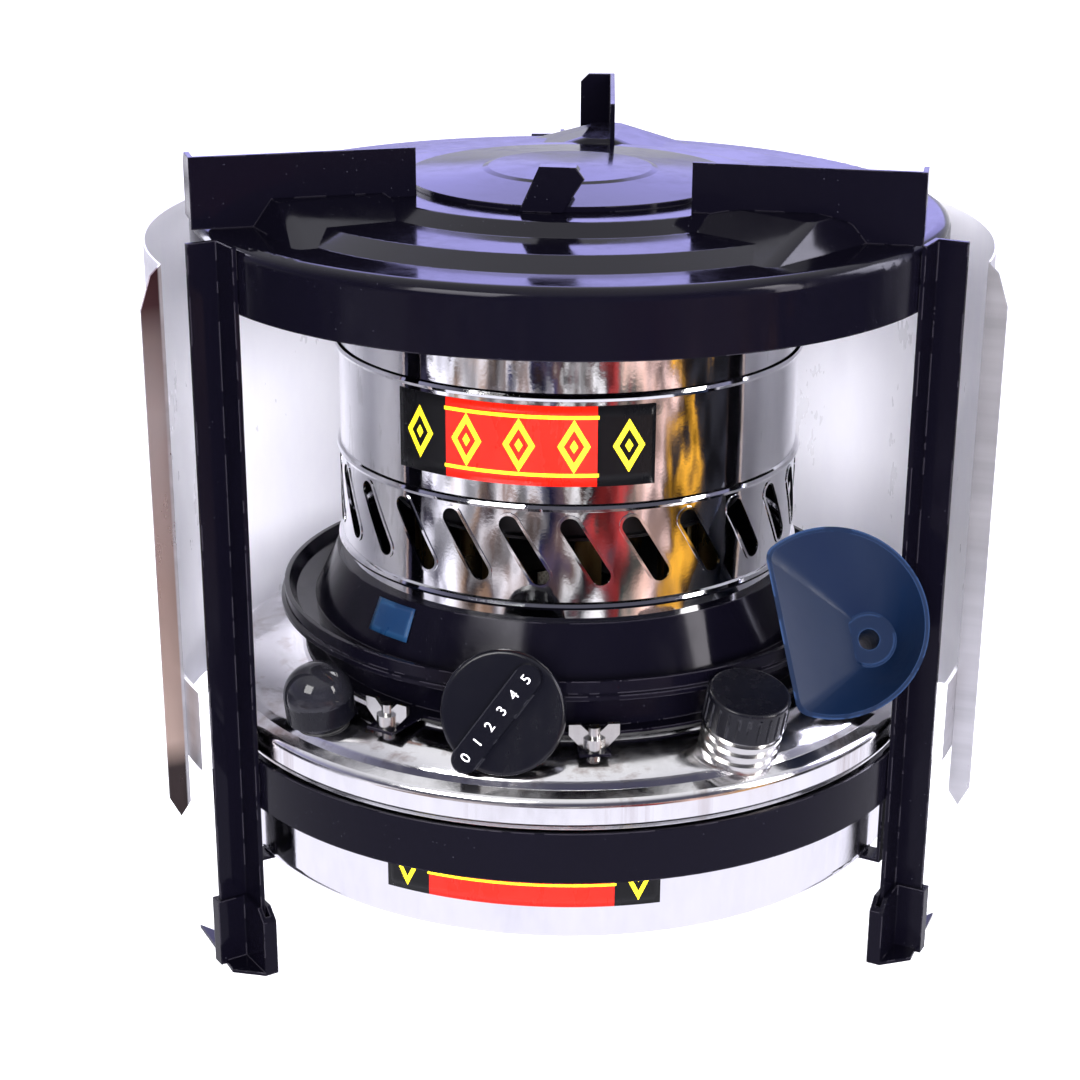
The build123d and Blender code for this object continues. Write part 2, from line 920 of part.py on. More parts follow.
with BuildPart() as wicks:
    with BuildSketch(Plane.XY.offset(wick_z0)):
        with Locations([polar(wick_ring_r, az, 0) for az in wick_azimuths]):
            Circle(wick_r)
    extrude(amount=wick_z1 - wick_z0)

# Clamp studs and their wing nuts
stud_foot_z = tank_top(stud_ring_r - stud_r) + running_gap
with BuildPart() as clamp_studs:
    for az in stud_azimuths:
        add(around(rod(stud_r, stud_foot_z, stud_top_z, Plane.XY, stud_ring_r), az))


def wing_nut(azimuth):
    half = wing_t / 2
    wings = prism(
        [
            (-nut_r, flange_top_z),
            (nut_r, flange_top_z),
            (wing_reach, wing_top_z - nut_r),
            (wing_reach, wing_top_z),
            (wing_reach - nut_r, wing_top_z),
            (0, flange_top_z + nut_h),
            (nut_r - wing_reach, wing_top_z),
            (-wing_reach, wing_top_z),
            (-wing_reach, wing_top_z - nut_r),
        ],
        half,
        Plane(origin=(stud_ring_r, 0, 0), x_dir=(0, 1, 0), z_dir=(1, 0, 0)),
        both=True,
    )
    body = rod(nut_r, flange_top_z, flange_top_z + nut_h, Plane.XY, stud_ring_r) + wings
    body -= rod(stud_r + running_gap, tank_z, drum_top_z, Plane.XY, stud_ring_r)
    return around(body, azimuth)


with BuildPart() as wing_nuts:
    for az in stud_azimuths:
        add(wing_nut(az))

# Burner drum: beaded wall with slanted slots whose edges are raised
drum_in_r = drum_r - drum_wall


def bead(height, radius, inner):
    shoulder = radius * bead_shoulder_share
    return [
        (inner, height - radius),
        (inner + shoulder, height - shoulder),
        (inner + radius, height),
        (inner + shoulder, height + shoulder),
        (inner, height + radius),
    ]


def drum_points(inner, r_bead):
    points = [(inner, ledge_z)]
    for height in bead_heights:
        points += bead(height, r_bead, inner)
    return points


def slot_tool(width, length, start, end):
    frame = Plane(origin=(0, 0, (slot_z0 + slot_z1) / 2), x_dir=(0, 1, 0), z_dir=(1, 0, 0))
    with BuildPart() as piece:
        with BuildSketch(spun(frame.offset(start), slot_slant - 90)):
            SlotOverall(length, width)
        extrude(amount=end - start)
    return piece.part


slot_length = (slot_z1 - slot_z0) / math.cos(math.radians(slot_slant)) - drum_slot_w * slot_end_share
slot_cut = slot_tool(drum_slot_w, slot_length, drum_in_r - 2 * bead_r, drum_r + 2 * bead_r)
rim_tool = slot_tool(
    drum_slot_w + 2 * slot_rim, slot_length + 2 * slot_rim, drum_in_r - 2 * bead_r, drum_r + 2 * bead_r
)
slot_band = rod(drum_r + slot_rim_h, slot_z0 - 2 * slot_rim, slot_z1 + 2 * slot_rim)
slot_band -= rod(drum_r - drum_wall / 2, slot_z0 - 4 * slot_rim, slot_z1 + 4 * slot_rim)
slot_rims = slot_band & rim_tool
slot_azimuths = [knob_az + 360 * k / slot_count for k in range(slot_count)]

with BuildPart() as burner_drum:
    outside = drum_points(drum_r, bead_r) + [(drum_r, drum_top_z), (drum_flange_r, drum_top_z)]
    inside = drum_points(drum_in_r, bead_r)
    top_in = [(drum_flange_r, drum_top_z - drum_wall), (drum_in_r, drum_top_z - drum_wall)]
    add(turned(outside + top_in + inside[::-1]))
    for az in slot_azimuths:
        add(around(slot_rims, az))
    for az in slot_azimuths:
        add(around(slot_cut, az), mode=Mode.SUBTRACT)

# Gallery plate, the two perforated flame tubes and the spreader
with BuildPart() as gallery_plate:
    with BuildSketch(Plane.XY.offset(gallery_z)):
        Circle(gallery_out_r)
        Circle(gallery_in_r, mode=Mode.SUBTRACT)
        with Locations([polar(wick_ring_r, az, 0) for az in wick_azimuths]):
            Circle(tube_r + running_gap, mode=Mode.SUBTRACT)
    extrude(amount=burner_sheet)

flame_z0 = gallery_z + burner_sheet


def flame_tube(radius):
    tube = rod(radius, flame_z0, flame_top_z) - rod(radius - flame_wall, flame_z0, flame_top_z)
    step = (flame_top_z - flame_z0) / (flame_hole_rows + 1)
    with BuildPart() as piece:
        add(tube)
        for row in range(flame_hole_rows):
            height = flame_z0 + step * (row + 1)
            for k in range(flame_hole_columns):
                turn = 180 * (k + row / 2) / flame_hole_columns
                frame = Plane(origin=(0, 0, height), z_dir=polar(1, turn, 0))
                with BuildSketch(frame):
                    Circle(flame_hole_r)
                extrude(amount=radius + overrun, both=True, mode=Mode.SUBTRACT)
    return piece.part


with BuildPart() as outer_flame_tube:
    add(flame_tube(outer_tube_r))

with BuildPart() as inner_flame_tube:
    add(flame_tube(inner_tube_r))

with BuildPart() as flame_spreader:
    add(
        turned(
            [
                (0, flame_top_z + spreader_rise),
                (inner_tube_r, flame_top_z + burner_sheet),
                (spreader_r, flame_top_z + burner_sheet),
                (spreader_r, flame_top_z - spreader_lip),
                (spreader_r - burner_sheet, flame_top_z - spreader_lip),
                (spreader_r - burner_sheet, flame_top_z),
                (inner_tube_r - burner_sheet, flame_top_z),
                (0, flame_top_z + spreader_rise - burner_sheet),
            ]
        )
    )

# Wick carrier ring with an arm, and the rack on the arm's side
arm_box = block(
    wick_ring_r - wick_r,
    carrier_arm_r,
    -rack_back - carrier_arm_w,
    -rack_back,
    carrier_z,
    carrier_z + carrier_h,
)
with BuildPart() as wick_carrier:
    with BuildSketch(Plane.XY.offset(carrier_z)):
        Circle(carrier_out_r)
        Circle(carrier_in_r, mode=Mode.SUBTRACT)
    extrude(amount=carrier_h)
    add(around(arm_box, knob_az))
    for az in wick_azimuths:
        hole = rod(wick_r + running_gap, wick_z0, wick_z1, Plane.XY, wick_ring_r)
        add(around(hole, az), mode=Mode.SUBTRACT)

pitch_x = -(pitch_r + mesh_gap)
rack_tip = pitch_x + rack_addendum
rack_root = pitch_x - rack_dedendum
rack_outline = [(-rack_back, tooth_pitch / 2 + rack_root_half)]
for k in range(rack_teeth):
    centre = tooth_pitch / 2 - tooth_pitch * k
    rack_outline.append((rack_root, centre + rack_root_half))
    rack_outline.append((rack_tip, centre + rack_tip_half))
    rack_outline.append((rack_tip, centre - rack_tip_half))
    rack_outline.append((rack_root, centre - rack_root_half))
rack_outline.append((-rack_back, tooth_pitch / 2 - tooth_pitch * (rack_teeth - 1) - rack_root_half))
with BuildPart() as wick_rack:
    add(prism(rack_outline, rack_end - rack_start, knob_frame.offset(-rack_end)))

# Pinion, shaft, bush and knob on the tilted axis
tooth = [
    (tooth_sink_r, -tooth_root_half),
    (pinion_root_r, -tooth_root_half),
    (pitch_r, -tooth_half),
    (pinion_tip_r, -tooth_tip_half),
    (pinion_tip_r, tooth_tip_half),
    (pitch_r, tooth_half),
    (pinion_root_r, tooth_root_half),
    (tooth_sink_r, tooth_root_half),
]
with BuildPart() as pinion:
    add(rod(pinion_root_r, -pinion_end, -pinion_start, knob_frame))
    for k in range(pinion_teeth):
        spin = spun(knob_frame, 180 + 360 * k / pinion_teeth)
        add(prism(tooth, pinion_end - pinion_start, spin.offset(-pinion_end)))
    add(rod(seat_fit_r, -pinion_end - overrun, -pinion_start + overrun, knob_frame), mode=Mode.SUBTRACT)

with BuildPart() as wick_shaft:
    add(rod(shaft_r, -shaft_end, -shaft_start, knob_frame))

with BuildPart() as shaft_bush:
    add(rod(bush_r, -bush_end, -bush_start, knob_frame))
    add(rod(bush_flange_r, -bush_start - bush_flange_h, -bush_start, knob_frame))
    add(rod(seat_fit_r, -bush_end - overrun, overrun - bush_start, knob_frame), mode=Mode.SUBTRACT)

knob_outline = [
    (0, -hub_back),
    (hub_r, -hub_back),
    (hub_r, -knob_back),
    (knob_r - knob_bevel, -knob_back),
    (knob_r, knob_bevel - knob_back),
    (knob_r, -knob_face),
    (0, -knob_face),
]
grip_frame = spun(knob_frame, 90 - grip_lean)
with BuildPart() as knob:
    add(turned(knob_outline, [0, 0, 0, 0, 0, knob_edge_r, 0], frame=knob_frame))
    with BuildSketch(grip_frame.offset(-grip_depth)):
        with Locations(((knob_r - knob_edge_r - grip_tip) / 2, 0)):
            SlotOverall(knob_r - knob_edge_r + grip_tip, grip_w)
    extrude(amount=grip_depth)
    add(rod(seat_fit_r, -hub_back - overrun, -shaft_start, knob_frame), mode=Mode.SUBTRACT)
    screw_frame = Plane(
        knob_frame.origin - knob_frame.z_dir * screw_depth,
        x_dir=knob_frame.z_dir,
        z_dir=-knob_frame.y_dir,
    )
    add(rod(screw_r + running_gap, 0, knob_r + overrun, screw_frame), mode=Mode.SUBTRACT)

with BuildPart() as knob_screw:
    add(rod(screw_r, seat_fit_r + running_gap, seat_fit_r + screw_length, screw_frame))

# Lid: a disc with a rim, a step and a low crown
rivet_frame = spun(Plane.XY, handle_az)
lid_slope = (lid_step_z - seat_z - lid_rim_h) / (lid_r - lid_step_r)
lid_rivet_hole = rod(lid_rivet_r + running_gap, seat_z, handle_top_z, rivet_frame, lid_rivet_pitch_r)
with BuildPart() as lid:
    add(
        turned(
            [
                (0, lid_crown_z),
                (lid_dome_r, lid_dome_z),
                (lid_step_r, lid_step_z),
                (lid_r, seat_z + lid_rim_h),
                (lid_r, seat_z),
                (lid_r - lid_rim_w, seat_z),
                (lid_r - lid_rim_w, seat_z + lid_rim_h - enamel_sheet),
                (lid_step_r, lid_step_z - enamel_sheet),
                (lid_dome_r, lid_dome_z - enamel_sheet),
                (0, lid_crown_z - enamel_sheet),
            ]
        )
    )
    add(lid_rivet_hole, mode=Mode.SUBTRACT)

# Lid handle: a strip bent up from a foot riveted to the lid
lid_edge_z = seat_z + lid_rim_h
foot_in_z = lid_edge_z + lid_slope * (lid_r - handle_foot_r)
upright_r = lid_r + air_gap / 2
handle_profile = [
    (handle_foot_r, foot_in_z + running_gap),
    (lid_r, lid_edge_z + running_gap),
    (upright_r, seat_z + shoe_gap),
    (upright_r + handle_sheet, seat_z + shoe_gap),
    (upright_r + handle_sheet, handle_top_z),
    (upright_r - handle_fold, handle_top_z),
    (upright_r - handle_fold, handle_top_z - handle_sheet),
    (upright_r, handle_top_z - handle_sheet),
    (upright_r, lid_edge_z + handle_sheet),
    (handle_foot_r, foot_in_z + handle_sheet),
]
handle_strip = prism(handle_profile, 2 * handle_half, Plane.XZ, both=True)
handle_mask = prism(
    [
        (-handle_half - handle_lean, seat_z),
        (handle_half - handle_lean, seat_z),
        (handle_half + handle_lean, handle_top_z - handle_fold),
        (handle_half, handle_top_z + overrun),
        (-handle_half + handle_lean, handle_top_z + overrun),
    ],
    lid_r + handle_fold,
    Plane.YZ,
)
with BuildPart() as lid_handle:
    add(around(handle_strip & handle_mask, handle_az))
    add(lid_rivet_hole, mode=Mode.SUBTRACT)

lid_z_at_rivet = lid_edge_z + lid_slope * (lid_r - lid_rivet_pitch_r)
with BuildPart() as lid_rivet:
    head_z = lid_z_at_rivet + handle_sheet + air_gap
    base_z = lid_z_at_rivet - enamel_sheet - air_gap
    add(rod(lid_rivet_r, base_z, head_z, rivet_frame, lid_rivet_pitch_r))
    add(rod(lid_rivet_head_r, head_z, head_z + rivet_head_h, rivet_frame, lid_rivet_pitch_r))
    add(rod(lid_rivet_head_r, base_z - rivet_head_h, base_z, rivet_frame, lid_rivet_pitch_r))

# Funnel: a mouth with one flat side, tapering to a floor with the spout off centre
facing = polar(math.cos(math.radians(funnel_lift)), funnel_facing, math.sin(math.radians(funnel_lift)))
funnel_upright = Plane(
    polar(funnel_centre_r, funnel_az, funnel_z),
    x_dir=polar(1, funnel_facing + 90, 0),
    z_dir=facing,
)
funnel_frame = spun(funnel_upright, funnel_turn)


def funnel_shape(shrink, start, end):
    small = funnel_floor_share
    with BuildPart() as piece:
        for share, depth, shift in ((1, start, 0), (small, end, 1)):
            size = funnel_r * share - shrink
            flat = funnel_flat * share - shrink
            with BuildSketch(funnel_frame.offset(depth)) as mouth:
                with Locations((spout_x * shift, spout_y * shift)):
                    Circle(size)
                    with Locations((-flat - size, 0)):
                        Rectangle(2 * size, 2 * size, mode=Mode.SUBTRACT)
                sharp = funnel_corner_r * share * size / (size + shrink)
                fillet(mouth.vertices(), sharp)
        loft()
    return piece.part


funnel_outside = funnel_shape(0, 0, -funnel_depth)
funnel_inside = funnel_shape(funnel_wall, 0, funnel_wall - funnel_depth)
with BuildPart() as funnel:
    add(funnel_outside)
    add(funnel_inside, mode=Mode.SUBTRACT)
    with BuildSketch(funnel_frame.offset(-funnel_depth)):
        with Locations((spout_x, spout_y)):
            Circle(spout_root_r)
    with BuildSketch(funnel_frame.offset(-spout_end)):
        with Locations((spout_x, spout_y)):
            Circle(spout_tip_r)
    loft()
    ring_base = funnel_wall - funnel_depth
    add(rod(funnel_ring_r, ring_base, ring_base + funnel_ring_h, funnel_frame, spout_x, spout_y))
    bore = rod(spout_bore_r, -spout_end - overrun, overrun, funnel_frame, spout_x, spout_y)
    add(bore, mode=Mode.SUBTRACT)

# The origin lies on the floor under the middle of the footprint, so every piece moves forward
pieces = [
    top_plate, pan_support_left, pan_support_right, pan_support_rear, leg_left, leg_right, leg_rear,
    foot_left, foot_right, foot_rear, lower_band, tank_rest_left, tank_rest_right, tank_rest_rear,
    wind_shield, shield_clips, shield_rivets, tank_lower_shell, tank_upper_shell, filler_neck,
    filler_seal, filler_cap, gauge_seal, gauge_body, gauge_lens, gauge_pointer, float_arm,
    gauge_float, burner_gasket, burner_neck, burner_bowl, wick_plate, wick_tubes, wicks,
    clamp_studs, wing_nuts, burner_drum, gallery_plate, outer_flame_tube, inner_flame_tube,
    flame_spreader, wick_carrier, wick_rack, pinion, wick_shaft, shaft_bush, knob, knob_screw, lid,
    lid_handle, lid_rivet, funnel,
]
for piece in pieces:
    piece.part.move(Location((0, -axis_ahead, 0)))

top_plate.part.label = "top_plate"
export_step(top_plate.part, "parts/top_plate.step")
pan_support_left.part.label = "pan_support_left"
export_step(pan_support_left.part, "parts/pan_support_left.step")
pan_support_right.part.label = "pan_support_right"
export_step(pan_support_right.part, "parts/pan_support_right.step")
pan_support_rear.part.label = "pan_support_rear"
export_step(pan_support_rear.part, "parts/pan_support_rear.step")
leg_left.part.label = "leg_left"
export_step(leg_left.part, "parts/leg_left.step")
leg_right.part.label = "leg_right"
export_step(leg_right.part, "parts/leg_right.step")
leg_rear.part.label = "leg_rear"
export_step(leg_rear.part, "parts/leg_rear.step")
foot_left.part.label = "foot_left"
export_step(foot_left.part, "parts/foot_left.step")
foot_right.part.label = "foot_right"
export_step(foot_right.part, "parts/foot_right.step")
foot_rear.part.label = "foot_rear"
export_step(foot_rear.part, "parts/foot_rear.step")
lower_band.part.label = "lower_band"
export_step(lower_band.part, "parts/lower_band.step")
tank_rest_left.part.label = "tank_rest_left"
export_step(tank_rest_left.part, "parts/tank_rest_left.step")
tank_rest_right.part.label = "tank_rest_right"
export_step(tank_rest_right.part, "parts/tank_rest_right.step")
tank_rest_rear.part.label = "tank_rest_rear"
export_step(tank_rest_rear.part, "parts/tank_rest_rear.step")
wind_shield.part.label = "wind_shield"
export_step(wind_shield.part, "parts/wind_shield.step")
shield_clips.part.label = "shield_clips"
export_step(shield_clips.part, "parts/shield_clips.step")
shield_rivets.part.label = "shield_rivets"
export_step(shield_rivets.part, "parts/shield_rivets.step")
tank_lower_shell.part.label = "tank_lower_shell"
export_step(tank_lower_shell.part, "parts/tank_lower_shell.step")
tank_upper_shell.part.label = "tank_upper_shell"
export_step(tank_upper_shell.part, "parts/tank_upper_shell.step")
filler_neck.part.label = "filler_neck"
export_step(filler_neck.part, "parts/filler_neck.step")
filler_seal.part.label = "filler_seal"
export_step(filler_seal.part, "parts/filler_seal.step")
filler_cap.part.label = "filler_cap"
export_step(filler_cap.part, "parts/filler_cap.step")
gauge_seal.part.label = "gauge_seal"
export_step(gauge_seal.part, "parts/gauge_seal.step")
gauge_body.part.label = "gauge_body"
export_step(gauge_body.part, "parts/gauge_body.step")
gauge_lens.part.label = "gauge_lens"
export_step(gauge_lens.part, "parts/gauge_lens.step")
gauge_pointer.part.label = "gauge_pointer"
export_step(gauge_pointer.part, "parts/gauge_pointer.step")
float_arm.part.label = "float_arm"
export_step(float_arm.part, "parts/float_arm.step")
gauge_float.part.label = "gauge_float"
export_step(gauge_float.part, "parts/gauge_float.step")
burner_gasket.part.label = "burner_gasket"
export_step(burner_gasket.part, "parts/burner_gasket.step")
burner_neck.part.label = "burner_neck"
export_step(burner_neck.part, "parts/burner_neck.step")
burner_bowl.part.label = "burner_bowl"
export_step(burner_bowl.part, "parts/burner_bowl.step")
wick_plate.part.label = "wick_plate"
export_step(wick_plate.part, "parts/wick_plate.step")
wick_tubes.part.label = "wick_tubes"
export_step(wick_tubes.part, "parts/wick_tubes.step")
wicks.part.label = "wicks"
export_step(wicks.part, "parts/wicks.step")
clamp_studs.part.label = "clamp_studs"
export_step(clamp_studs.part, "parts/clamp_studs.step")
wing_nuts.part.label = "wing_nuts"
export_step(wing_nuts.part, "parts/wing_nuts.step")
burner_drum.part.label = "burner_drum"
export_step(burner_drum.part, "parts/burner_drum.step")
gallery_plate.part.label = "gallery_plate"
export_step(gallery_plate.part, "parts/gallery_plate.step")
outer_flame_tube.part.label = "outer_flame_tube"
export_step(outer_flame_tube.part, "parts/outer_flame_tube.step")
inner_flame_tube.part.label = "inner_flame_tube"
export_step(inner_flame_tube.part, "parts/inner_flame_tube.step")
flame_spreader.part.label = "flame_spreader"
export_step(flame_spreader.part, "parts/flame_spreader.step")
wick_carrier.part.label = "wick_carrier"
export_step(wick_carrier.part, "parts/wick_carrier.step")
wick_rack.part.label = "wick_rack"
export_step(wick_rack.part, "parts/wick_rack.step")
pinion.part.label = "pinion"
export_step(pinion.part, "parts/pinion.step")
wick_shaft.part.label = "wick_shaft"
export_step(wick_shaft.part, "parts/wick_shaft.step")
shaft_bush.part.label = "shaft_bush"
export_step(shaft_bush.part, "parts/shaft_bush.step")
knob.part.label = "knob"
export_step(knob.part, "parts/knob.step")
knob_screw.part.label = "knob_screw"
export_step(knob_screw.part, "parts/knob_screw.step")
lid.part.label = "lid"
export_step(lid.part, "parts/lid.step")
lid_handle.part.label = "lid_handle"
export_step(lid_handle.part, "parts/lid_handle.step")
lid_rivet.part.label = "lid_rivet"
export_step(lid_rivet.part, "parts/lid_rivet.step")
funnel.part.label = "funnel"
export_step(funnel.part, "parts/funnel.step")
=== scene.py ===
# %% [markdown]
# # A kerosene stove, dressed step by step
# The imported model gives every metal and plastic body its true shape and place, in metres.
# This lesson adds what the solids don't carry: the light, the camera, the finish of each
# surface, and thin printed details. We start by loading the model and noting its box.

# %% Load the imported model
import bpy
import bmesh
import math
from mathutils import Matrix, Vector


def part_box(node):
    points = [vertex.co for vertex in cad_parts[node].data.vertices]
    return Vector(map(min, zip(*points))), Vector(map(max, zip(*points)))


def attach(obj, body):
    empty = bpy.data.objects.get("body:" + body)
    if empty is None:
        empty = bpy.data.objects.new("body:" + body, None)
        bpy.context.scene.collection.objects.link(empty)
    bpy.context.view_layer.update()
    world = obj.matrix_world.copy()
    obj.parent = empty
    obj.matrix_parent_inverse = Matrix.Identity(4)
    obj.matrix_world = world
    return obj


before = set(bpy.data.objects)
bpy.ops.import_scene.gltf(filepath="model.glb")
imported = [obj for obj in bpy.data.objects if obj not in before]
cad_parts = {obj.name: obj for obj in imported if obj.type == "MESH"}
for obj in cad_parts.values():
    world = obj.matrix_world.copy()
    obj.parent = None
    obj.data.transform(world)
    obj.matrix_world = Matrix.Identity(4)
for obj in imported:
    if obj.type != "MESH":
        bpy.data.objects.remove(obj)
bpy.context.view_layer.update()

# %% [markdown]
# The knob side of the stove faces -Y. The photograph was taken three degrees to the left of that,
# so one helper turns a camera azimuth into the object's own azimuth, and another places a point
# by radius, azimuth and height. Lengths are written in millimetres, because stove sheet is. Two
# more helpers put an object into the scene and build a placing matrix from three axes and a point.

# %% Helpers for places
MM = 0.001
VIEW_TURN = 3.0
band_low, band_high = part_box("lower_band")
AXIS = Vector(((band_low[0] + band_high[0]) / 2, (band_low[1] + band_high[1]) / 2, 0))
print("burner axis", tuple(round(v, 4) for v in AXIS))


def polar(radius_mm, azimuth, height_mm):
    angle = math.radians(azimuth)
    return AXIS + MM * Vector((radius_mm * math.cos(angle), radius_mm * math.sin(angle), height_mm))


def seen_azimuth(camera_azimuth):
    return camera_azimuth - VIEW_TURN


def add_object(name, data):
    made = bpy.data.objects.new(name, data)
    bpy.context.scene.collection.objects.link(made)
    return made


def placing(x_axis, y_axis, z_axis, at):
    return Matrix((*zip(x_axis, y_axis, z_axis, at), (0, 0, 0, 1)))


# %% [markdown]
# The camera could be aimed with a Track To constraint, but the photograph is also rolled half a
# degree and framed off centre. Building the matrix from three axes gives all of it at once. The
# lens and the small shift come from fitting the plate, the legs and the tank to the photograph.

# %% Camera
PHOTO_PX = 1080
LENS_PX = 2298.4
SHIFT_PX = (-26.4, 60.1)
SENSOR_MM = 36.0
ELEVATION = math.radians(21.32)
ROLL = math.radians(0.53)
EYE_BACK, EYE_UP = 0.75724, 0.40131

camera_data = bpy.data.cameras.new("studio_camera")
camera_data.sensor_width = SENSOR_MM
camera_data.lens = LENS_PX / PHOTO_PX * SENSOR_MM
camera_data.shift_x, camera_data.shift_y = (shift / PHOTO_PX for shift in SHIFT_PX)
camera_data.clip_start, camera_data.clip_end = 0.01, 20.0

turn = Matrix.Rotation(math.radians(-VIEW_TURN), 3, "Z")
forward = turn @ Vector((0, math.cos(ELEVATION), -math.sin(ELEVATION)))
right = turn @ Vector((1, 0, 0))
up = right.cross(forward)
x_axis = right * math.cos(ROLL) + up * math.sin(ROLL)
y_axis = up * math.cos(ROLL) - right * math.sin(ROLL)
eye = AXIS + turn @ Vector((0, -EYE_BACK, EYE_UP))

camera = add_object("studio_camera", camera_data)
camera.matrix_world = placing(x_axis, y_axis, -forward, eye)
bpy.context.scene.camera = camera
print("camera at", tuple(round(v, 3) for v in eye), "lens", round(camera_data.lens, 1))

# %% [markdown]
# Floor, sky and finishes are all made of nodes. An input of a node takes either a link from another
# node or a fixed value, and these helpers treat both alike: the first feeds one input, the second
# feeds inputs and settings by name, with _ for a space, and the third makes the node as well.

# %% Feeding nodes


def feed(tree, socket, value):
    if isinstance(value, bpy.types.NodeSocket):
        tree.links.new(value, socket)
    elif socket.type == "RGBA" and len(value) == 3:
        socket.default_value = (*value, 1)
    else:
        socket.default_value = value


def fill(tree, made, **values):
    for key, value in values.items():
        label = key.replace("_", " ")
        if label in made.inputs:
            feed(tree, made.inputs[label], value)
        else:
            setattr(made, key, value)
    return made


def node(tree, kind, **values):
    return fill(tree, tree.nodes.new(kind), **values)


# %% [markdown]
# The same few steps come back in every tree of nodes: a sum, a sum of vectors, a range stretched to
# another range, two colours mixed by a mask, a colour ramp, and a switch between two shaders. Each
# helper gives back the output, ready to feed the next node.

# %% Sums, ranges and colours


def operate(tree, kind, operation, values):
    made = node(tree, kind, operation=operation)
    for socket, value in zip(made.inputs, values):
        feed(tree, socket, value)
    return made


def math_node(tree, operation, *values, clamp=False):
    made = operate(tree, "ShaderNodeMath", operation, values)
    made.use_clamp = clamp
    return made.outputs["Value"]


def vector_math(tree, operation, *values):
    made = operate(tree, "ShaderNodeVectorMath", operation, values)
    return made.outputs["Value" if operation in ("LENGTH", "DOT_PRODUCT") else "Vector"]


def map_range(tree, value, low, high, to_low=0.0, to_high=1.0):
    made = node(tree, "ShaderNodeMapRange", Value=value, From_Min=low, From_Max=high)
    return fill(tree, made, To_Min=to_low, To_Max=to_high).outputs["Result"]


def mix_color(tree, mask, first, second, blend_type="MIX"):
    made = node(tree, "ShaderNodeMix", data_type="RGBA", blend_type=blend_type, Factor=mask)
    feed(tree, made.inputs[6], first)
    feed(tree, made.inputs[7], second)
    return made.outputs[2]


def ramp_node(tree, stops, share):
    made = node(tree, "ShaderNodeValToRGB", Fac=share)
    first, *between, last = stops
    for element, (position, color) in zip(made.color_ramp.elements, (first, last)):
        element.position, element.color = position, (*color, 1)
    for position, color in between:
        made.color_ramp.elements.new(position).color = (*color, 1)
    return made.outputs["Color"]


def switch_shader(tree, mask, first, second, sink):
    made = node(tree, "ShaderNodeMixShader", Fac=mask)
    feed(tree, made.inputs[1], first)
    feed(tree, made.inputs[2], second)
    node(tree, sink, Surface=made.outputs["Shader"])


# %% [markdown]
# The floor is one large pale sheet, a hair below the feet. A backdrop curved up behind the stove
# would do as well, but the photograph is cut out on white, so a flat sheet lit to white is enough.

# %% Floor sheet
FLOOR_REACH = 6.0
FLOOR_GAP = 0.0004
corner_signs = ((-1, -1), (1, -1), (1, 1), (-1, 1))
floor_corners = [(x * FLOOR_REACH, y * FLOOR_REACH, 0) for x, y in corner_signs]
floor_mesh = bpy.data.meshes.new("studio_floor")
floor_mesh.from_pydata(floor_corners, [], [(0, 1, 2, 3)])
floor = add_object("studio_floor", floor_mesh)
floor.location.z = -FLOOR_GAP
print("floor", 2 * FLOOR_REACH, "m wide")

# %% [markdown]
# Polished steel mirrors the floor too, and a drum that mirrors only white looks like paper. A shop
# full of goods could be built round the stove, but a picture of it in colours is enough: the ramp
# below runs once round the stove, and the drum shows it squeezed. Its front shows the stops from
# 0.96 on to 1, and from 0 on to 0.54, from left to right: black beside the white left edge, white
# and brown, then red, pink and orange, and a wide black band before the white right edge.

# %% Colours of the shop
SHOP_COLOURS = (
    (0.0, (0.02, 0.02, 0.035)), (0.055, (0.03, 0.025, 0.05)), (0.068, (0.9, 0.88, 1.0)),
    (0.112, (0.85, 0.83, 0.9)), (0.125, (0.4, 0.25, 0.17)), (0.142, (0.03, 0.02, 0.03)),
    (0.16, (0.7, 0.66, 0.7)), (0.178, (0.2, 0.13, 0.11)), (0.195, (0.6, 0.57, 0.6)),
    (0.21, (0.02, 0.025, 0.09)), (0.24, (0.1, 0.06, 0.05)), (0.256, (0.9, 0.88, 0.9)),
    (0.27, (0.03, 0.03, 0.04)), (0.3, (0.45, 0.04, 0.04)), (0.318, (0.04, 0.12, 0.12)),
    (0.335, (0.95, 0.6, 0.5)), (0.362, (0.9, 0.62, 0.58)), (0.375, (0.03, 0.02, 0.02)),
    (0.392, (0.95, 0.45, 0.04)), (0.406, (0.02, 0.02, 0.025)), (0.525, (0.02, 0.02, 0.03)),
    (0.545, (0.9, 0.88, 1.0)), (0.94, (0.9, 0.88, 1.0)), (0.955, (0.02, 0.02, 0.035)),
    (1.0, (0.02, 0.02, 0.035)),
)
SHOP_WOBBLE = 1.1
SHOP_TURN = 0.413
floor_paint = bpy.data.materials.new("floor_paint")
floor_paint.use_nodes = True
tree = floor_paint.node_tree
tree.nodes.clear()
spot = node(tree, "ShaderNodeNewGeometry").outputs["Position"]
spot_parts = node(tree, "ShaderNodeSeparateXYZ", Vector=spot).outputs
angle = math_node(tree, "ARCTAN2", spot_parts["Y"], spot_parts["X"])
noise = node(tree, "ShaderNodeTexNoise", Scale=8.0, Detail=2.0, Vector=spot).outputs["Fac"]
wobbled = math_node(tree, "ADD", angle, math_node(tree, "MULTIPLY", noise, SHOP_WOBBLE))
turns = math_node(tree, "ADD", math_node(tree, "DIVIDE", wobbled, math.tau), SHOP_TURN)
shop = ramp_node(tree, SHOP_COLOURS, math_node(tree, "FRACT", turns))
print("shop colours", len(SHOP_COLOURS))

# %% [markdown]
# Goods have their own lights and darks, so a coarse noise breaks each colour into clumps. Within a
# third of a metre of the stove the mirrored floor stays lilac white, as the tank's wall shows. The
# Light Path node gives that picture only to mirrored rays, and the plain white floor to all others.

